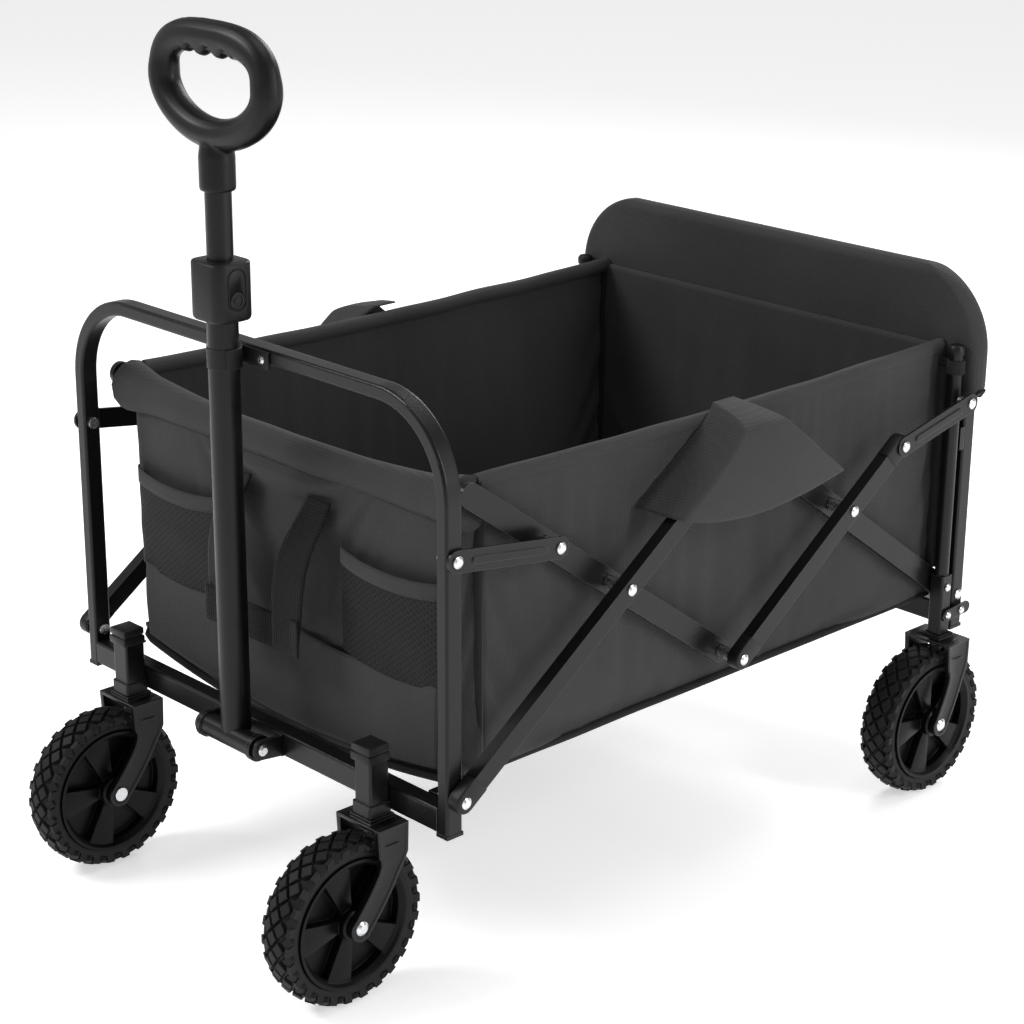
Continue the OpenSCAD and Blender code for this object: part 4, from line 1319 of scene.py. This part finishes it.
class WAGON_OT_flaps(bpy.types.Operator):
    """Flaps of cloth that hang from the rims over the middle joints of the struts"""

    bl_idname = "wagon.flaps"
    bl_label = "Joint flaps"

    def execute(self, context):
        basket = Basket(context.scene.wagon_cloth)
        joint = [j for j in frame["joints"] if j["name"] == "rear_long_turn"][0]["pos_m"]
        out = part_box("front_strut_bolts")[1].x + 0.0035
        for side, sign in SIDES:
            apex = Vector((basket.half - 0.004, joint[1] + 0.008, basket.rim + 0.009))
            rear = Vector((out, joint[1] + 0.140, basket.rim - 0.082))
            front = Vector((out, joint[1] - 0.123, basket.rim - 0.074))
            low = Vector((out + 0.010, joint[1] - 0.030, basket.rim - 0.112))

            def place(u, v, apex=apex, rear=rear, front=front, low=low, sign=sign):
                base = front * (1 - u) ** 2 + low * 2 * u * (1 - u) + rear * u * u
                top = apex + Vector((0, lerp(-0.016, 0.014, u), 0))
                spot = top.lerp(base, v)
                reach = out + 0.006 * math.sin(math.pi * v) + (base.x - out) * v
                reach = lerp(basket.half + 0.0025, reach, ease(u / 0.085))
                spot.x = lerp(top.x, reach, 1 - (1 - min(v / 0.2, 1)) ** 2.2)
                spot.z += 0.010 * math.sin(math.pi * v) * math.sin(math.pi * u)
                spot.y += ripple((u * 2, v * 2, 5), 0.6, 0.003)
                return Vector((sign * spot.x, spot.y, spot.z))

            bm = cloth_grid(40, 36, place)
            flap = solid(
                bm, f"joint_flap_{side}", FINISHES["side_cloth"], "front", angle=85,
                outward=False,
            )
            thicken(flap, 0.002)
            squash_with_fold(flap, basket)
        return {"FINISHED"}


class WAGON_OT_mat(bpy.types.Operator):
    """Padded base mat of four boards with sewn fold lines"""

    bl_idname = "wagon.mat"
    bl_label = "Base mat"

    def execute(self, context):
        low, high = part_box("base_mat")
        boards, seam = 4, 0.006
        bm = bmesh.new()
        slab(bm, low, high)
        for axis, cuts in ((1, 119), (0, 59)):
            edges = [e for e in bm.edges if abs(e.verts[0].co[axis] - e.verts[1].co[axis]) > 0.1]
            bmesh.ops.subdivide_edges(bm, edges=edges, cuts=cuts)
        pitch = (high.y - low.y) / boards
        for v in bm.verts:
            if v.co.z < (low.z + high.z) / 2:
                continue
            along = (v.co.y - low.y) % pitch
            near = min(along, pitch - along, v.co.x - low.x, high.x - v.co.x)
            sewn = 0.0035 * (1 - ease(near / seam))
            v.co.z += 0.004 * ease(near / 0.03) - sewn + ripple(v.co * 5, 0.5, 0.0015)
        bmesh.ops.recalc_face_normals(bm, faces=bm.faces)
        mat = solid(
            bm, "base_mat_padded", FINISHES["floor_cloth"], "front", ["base_mat"], angle=60
        )
        squash_with_fold(mat, Basket(context.scene.wagon_cloth))
        return {"FINISHED"}


# ---------- metal and stage ----------


class WAGON_OT_metal(bpy.types.Operator):
    """Finishes on the frame, struts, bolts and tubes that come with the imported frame"""

    bl_idname = "wagon.metal"
    bl_label = "Metalwork finishes"

    def execute(self, context):
        for part in frame["record"]["subparts"]:
            slot = part["material_slot"]
            if slot in ("oxford_cloth", "pocket_mesh", "webbing"):
                continue
            slots = frame["nodes"][part["node"]].data.materials
            slots.clear()
            slots.append(FINISHES[slot])
        return {"FINISHED"}


class WAGON_OT_stage(bpy.types.Operator):
    """Pale floor, soft studio lights and the camera"""

    bl_idname = "wagon.stage"
    bl_label = "Stage"
    floor_size = 80.0
    spot = (1.819, -1.7195, 1.236)
    heading, dip, lean = 46.30, 19.33, 0.38  # of the camera, in degrees
    lens = 85.2

    def execute(self, context):
        scene = context.scene
        bm = bmesh.new()
        bmesh.ops.create_grid(bm, x_segments=1, y_segments=1, size=self.floor_size)
        mesh = bpy.data.meshes.new("floor")
        bm.to_mesh(mesh)
        bm.free()
        floor = bpy.data.objects.new("floor", mesh)
        scene.collection.objects.link(floor)
        finish, _tree, shader = blank("floor_paper")
        shader.inputs["Base Color"].default_value = (*scene.wagon_colours.floor, 1)
        shader.inputs["Roughness"].default_value = 0.9
        shader.inputs["Emission Color"].default_value = (1, 1, 1, 1)
        shader.inputs["Emission Strength"].default_value = 0.5
        mesh.materials.append(finish)
        self.lights(scene)
        self.camera(scene)
        return {"FINISHED"}

    def lights(self, scene):
        """Bright surround, a broad key from the left front, a strip behind and one at the right."""
        world = bpy.data.worlds.new("studio")
        world.use_nodes = True
        surround = world.node_tree.nodes["Background"]
        surround.inputs["Color"].default_value = (1, 1, 1, 1)
        tree = world.node_tree
        way = add(tree, "TexCoord", {}, {}).outputs["Generated"]
        up = add(tree, "SeparateXYZ", {}, {"Vector": way}).outputs["Z"]
        level = add(
            tree, "MapRange", {"interpolation_type": "SMOOTHSTEP"},
            {"Value": up, "From Min": 0.03, "From Max": 0.25, "To Min": 1.0, "To Max": 0.34},
        ).outputs["Result"]
        tree.links.new(level, surround.inputs["Strength"])
        scene.world = world
        scene.view_settings.view_transform = "Standard"
        aim = Vector((0, 0, 0.4))
        # name, place, watts, width and height of each lamp
        lamps = (
            ("key", (-1.6, -2.2, 2.7), 70, 1.6, 1.0),
            ("right_strip", (2.8, 0.9, 1.5), 42, 0.5, 2.0),
            ("back", (-0.8, 2.8, 2.3), 55, 2.0, 0.8),
            ("top", (0.3, 0.1, 3.0), 20, 1.6, 1.6),
        )
        for name, place, power, wide, tall in lamps:
            data = bpy.data.lights.new(name, "AREA")
            data.shape = "RECTANGLE"
            data.size, data.size_y = wide, tall
            data.energy = power
            lamp = bpy.data.objects.new(name, data)
            lamp.location = place
            lamp.rotation_euler = (aim - Vector(place)).to_track_quat("-Z", "Y").to_euler()
            scene.collection.objects.link(lamp)

    def camera(self, scene):
        """Camera at the front right, above the rim."""
        data = bpy.data.cameras.new("camera")
        data.lens = self.lens
        camera = bpy.data.objects.new("camera", data)
        heading, dip, lean = (math.radians(a) for a in (self.heading, self.dip, self.lean))
        camera.matrix_world = (
            Matrix.Translation(self.spot) @ Matrix.Rotation(heading, 4, "Z")
            @ Matrix.Rotation(math.pi / 2 - dip, 4, "X") @ Matrix.Rotation(lean, 4, "Z")
        )
        scene.collection.objects.link(camera)
        scene.camera = camera


# ---------- panel and run ----------

STEPS = (
    WAGON_OT_stage, WAGON_OT_metal, WAGON_OT_tyres, WAGON_OT_hubs, WAGON_OT_forks, WAGON_OT_grip,
    WAGON_OT_lock, WAGON_OT_caps, WAGON_OT_walls, WAGON_OT_hood, WAGON_OT_pockets, WAGON_OT_flaps,
    WAGON_OT_mat,
)
GROUPS = {
    "wagon_cloth": WagonCloth, "wagon_wheels": WagonWheels, "wagon_handle": WagonHandle,
    "wagon_colours": WagonColours,
}


class WAGON_PT_build(bpy.types.Panel):
    """Lists the steps that build the wagon"""

    bl_label = "Folding Camp Wagon"
    bl_space_type = "VIEW_3D"
    bl_region_type = "UI"
    bl_category = "Wagon"

    def draw(self, context):
        for group in GROUPS:
            sizes = getattr(context.scene, group)
            box = self.layout.box()
            for name in sizes.__annotations__:
                box.prop(sizes, name)
        for step in STEPS:
            self.layout.operator(step.bl_idname)


def register():
    for kind in (*GROUPS.values(), *STEPS, WAGON_PT_build):
        bpy.utils.register_class(kind)
    for name, kind in GROUPS.items():
        setattr(bpy.types.Scene, name, PointerProperty(type=kind))


def unregister():
    for name in GROUPS:
        delattr(bpy.types.Scene, name)
    for kind in reversed((*GROUPS.values(), *STEPS, WAGON_PT_build)):
        bpy.utils.unregister_class(kind)


def main():
    """Builds the wagon round its frame."""
    register()
    make_finishes(bpy.context.scene.wagon_colours)
    for step in STEPS:
        group, name = step.bl_idname.split(".")
        getattr(getattr(bpy.ops, group), name)()


if __name__ == "__main__":
    main()
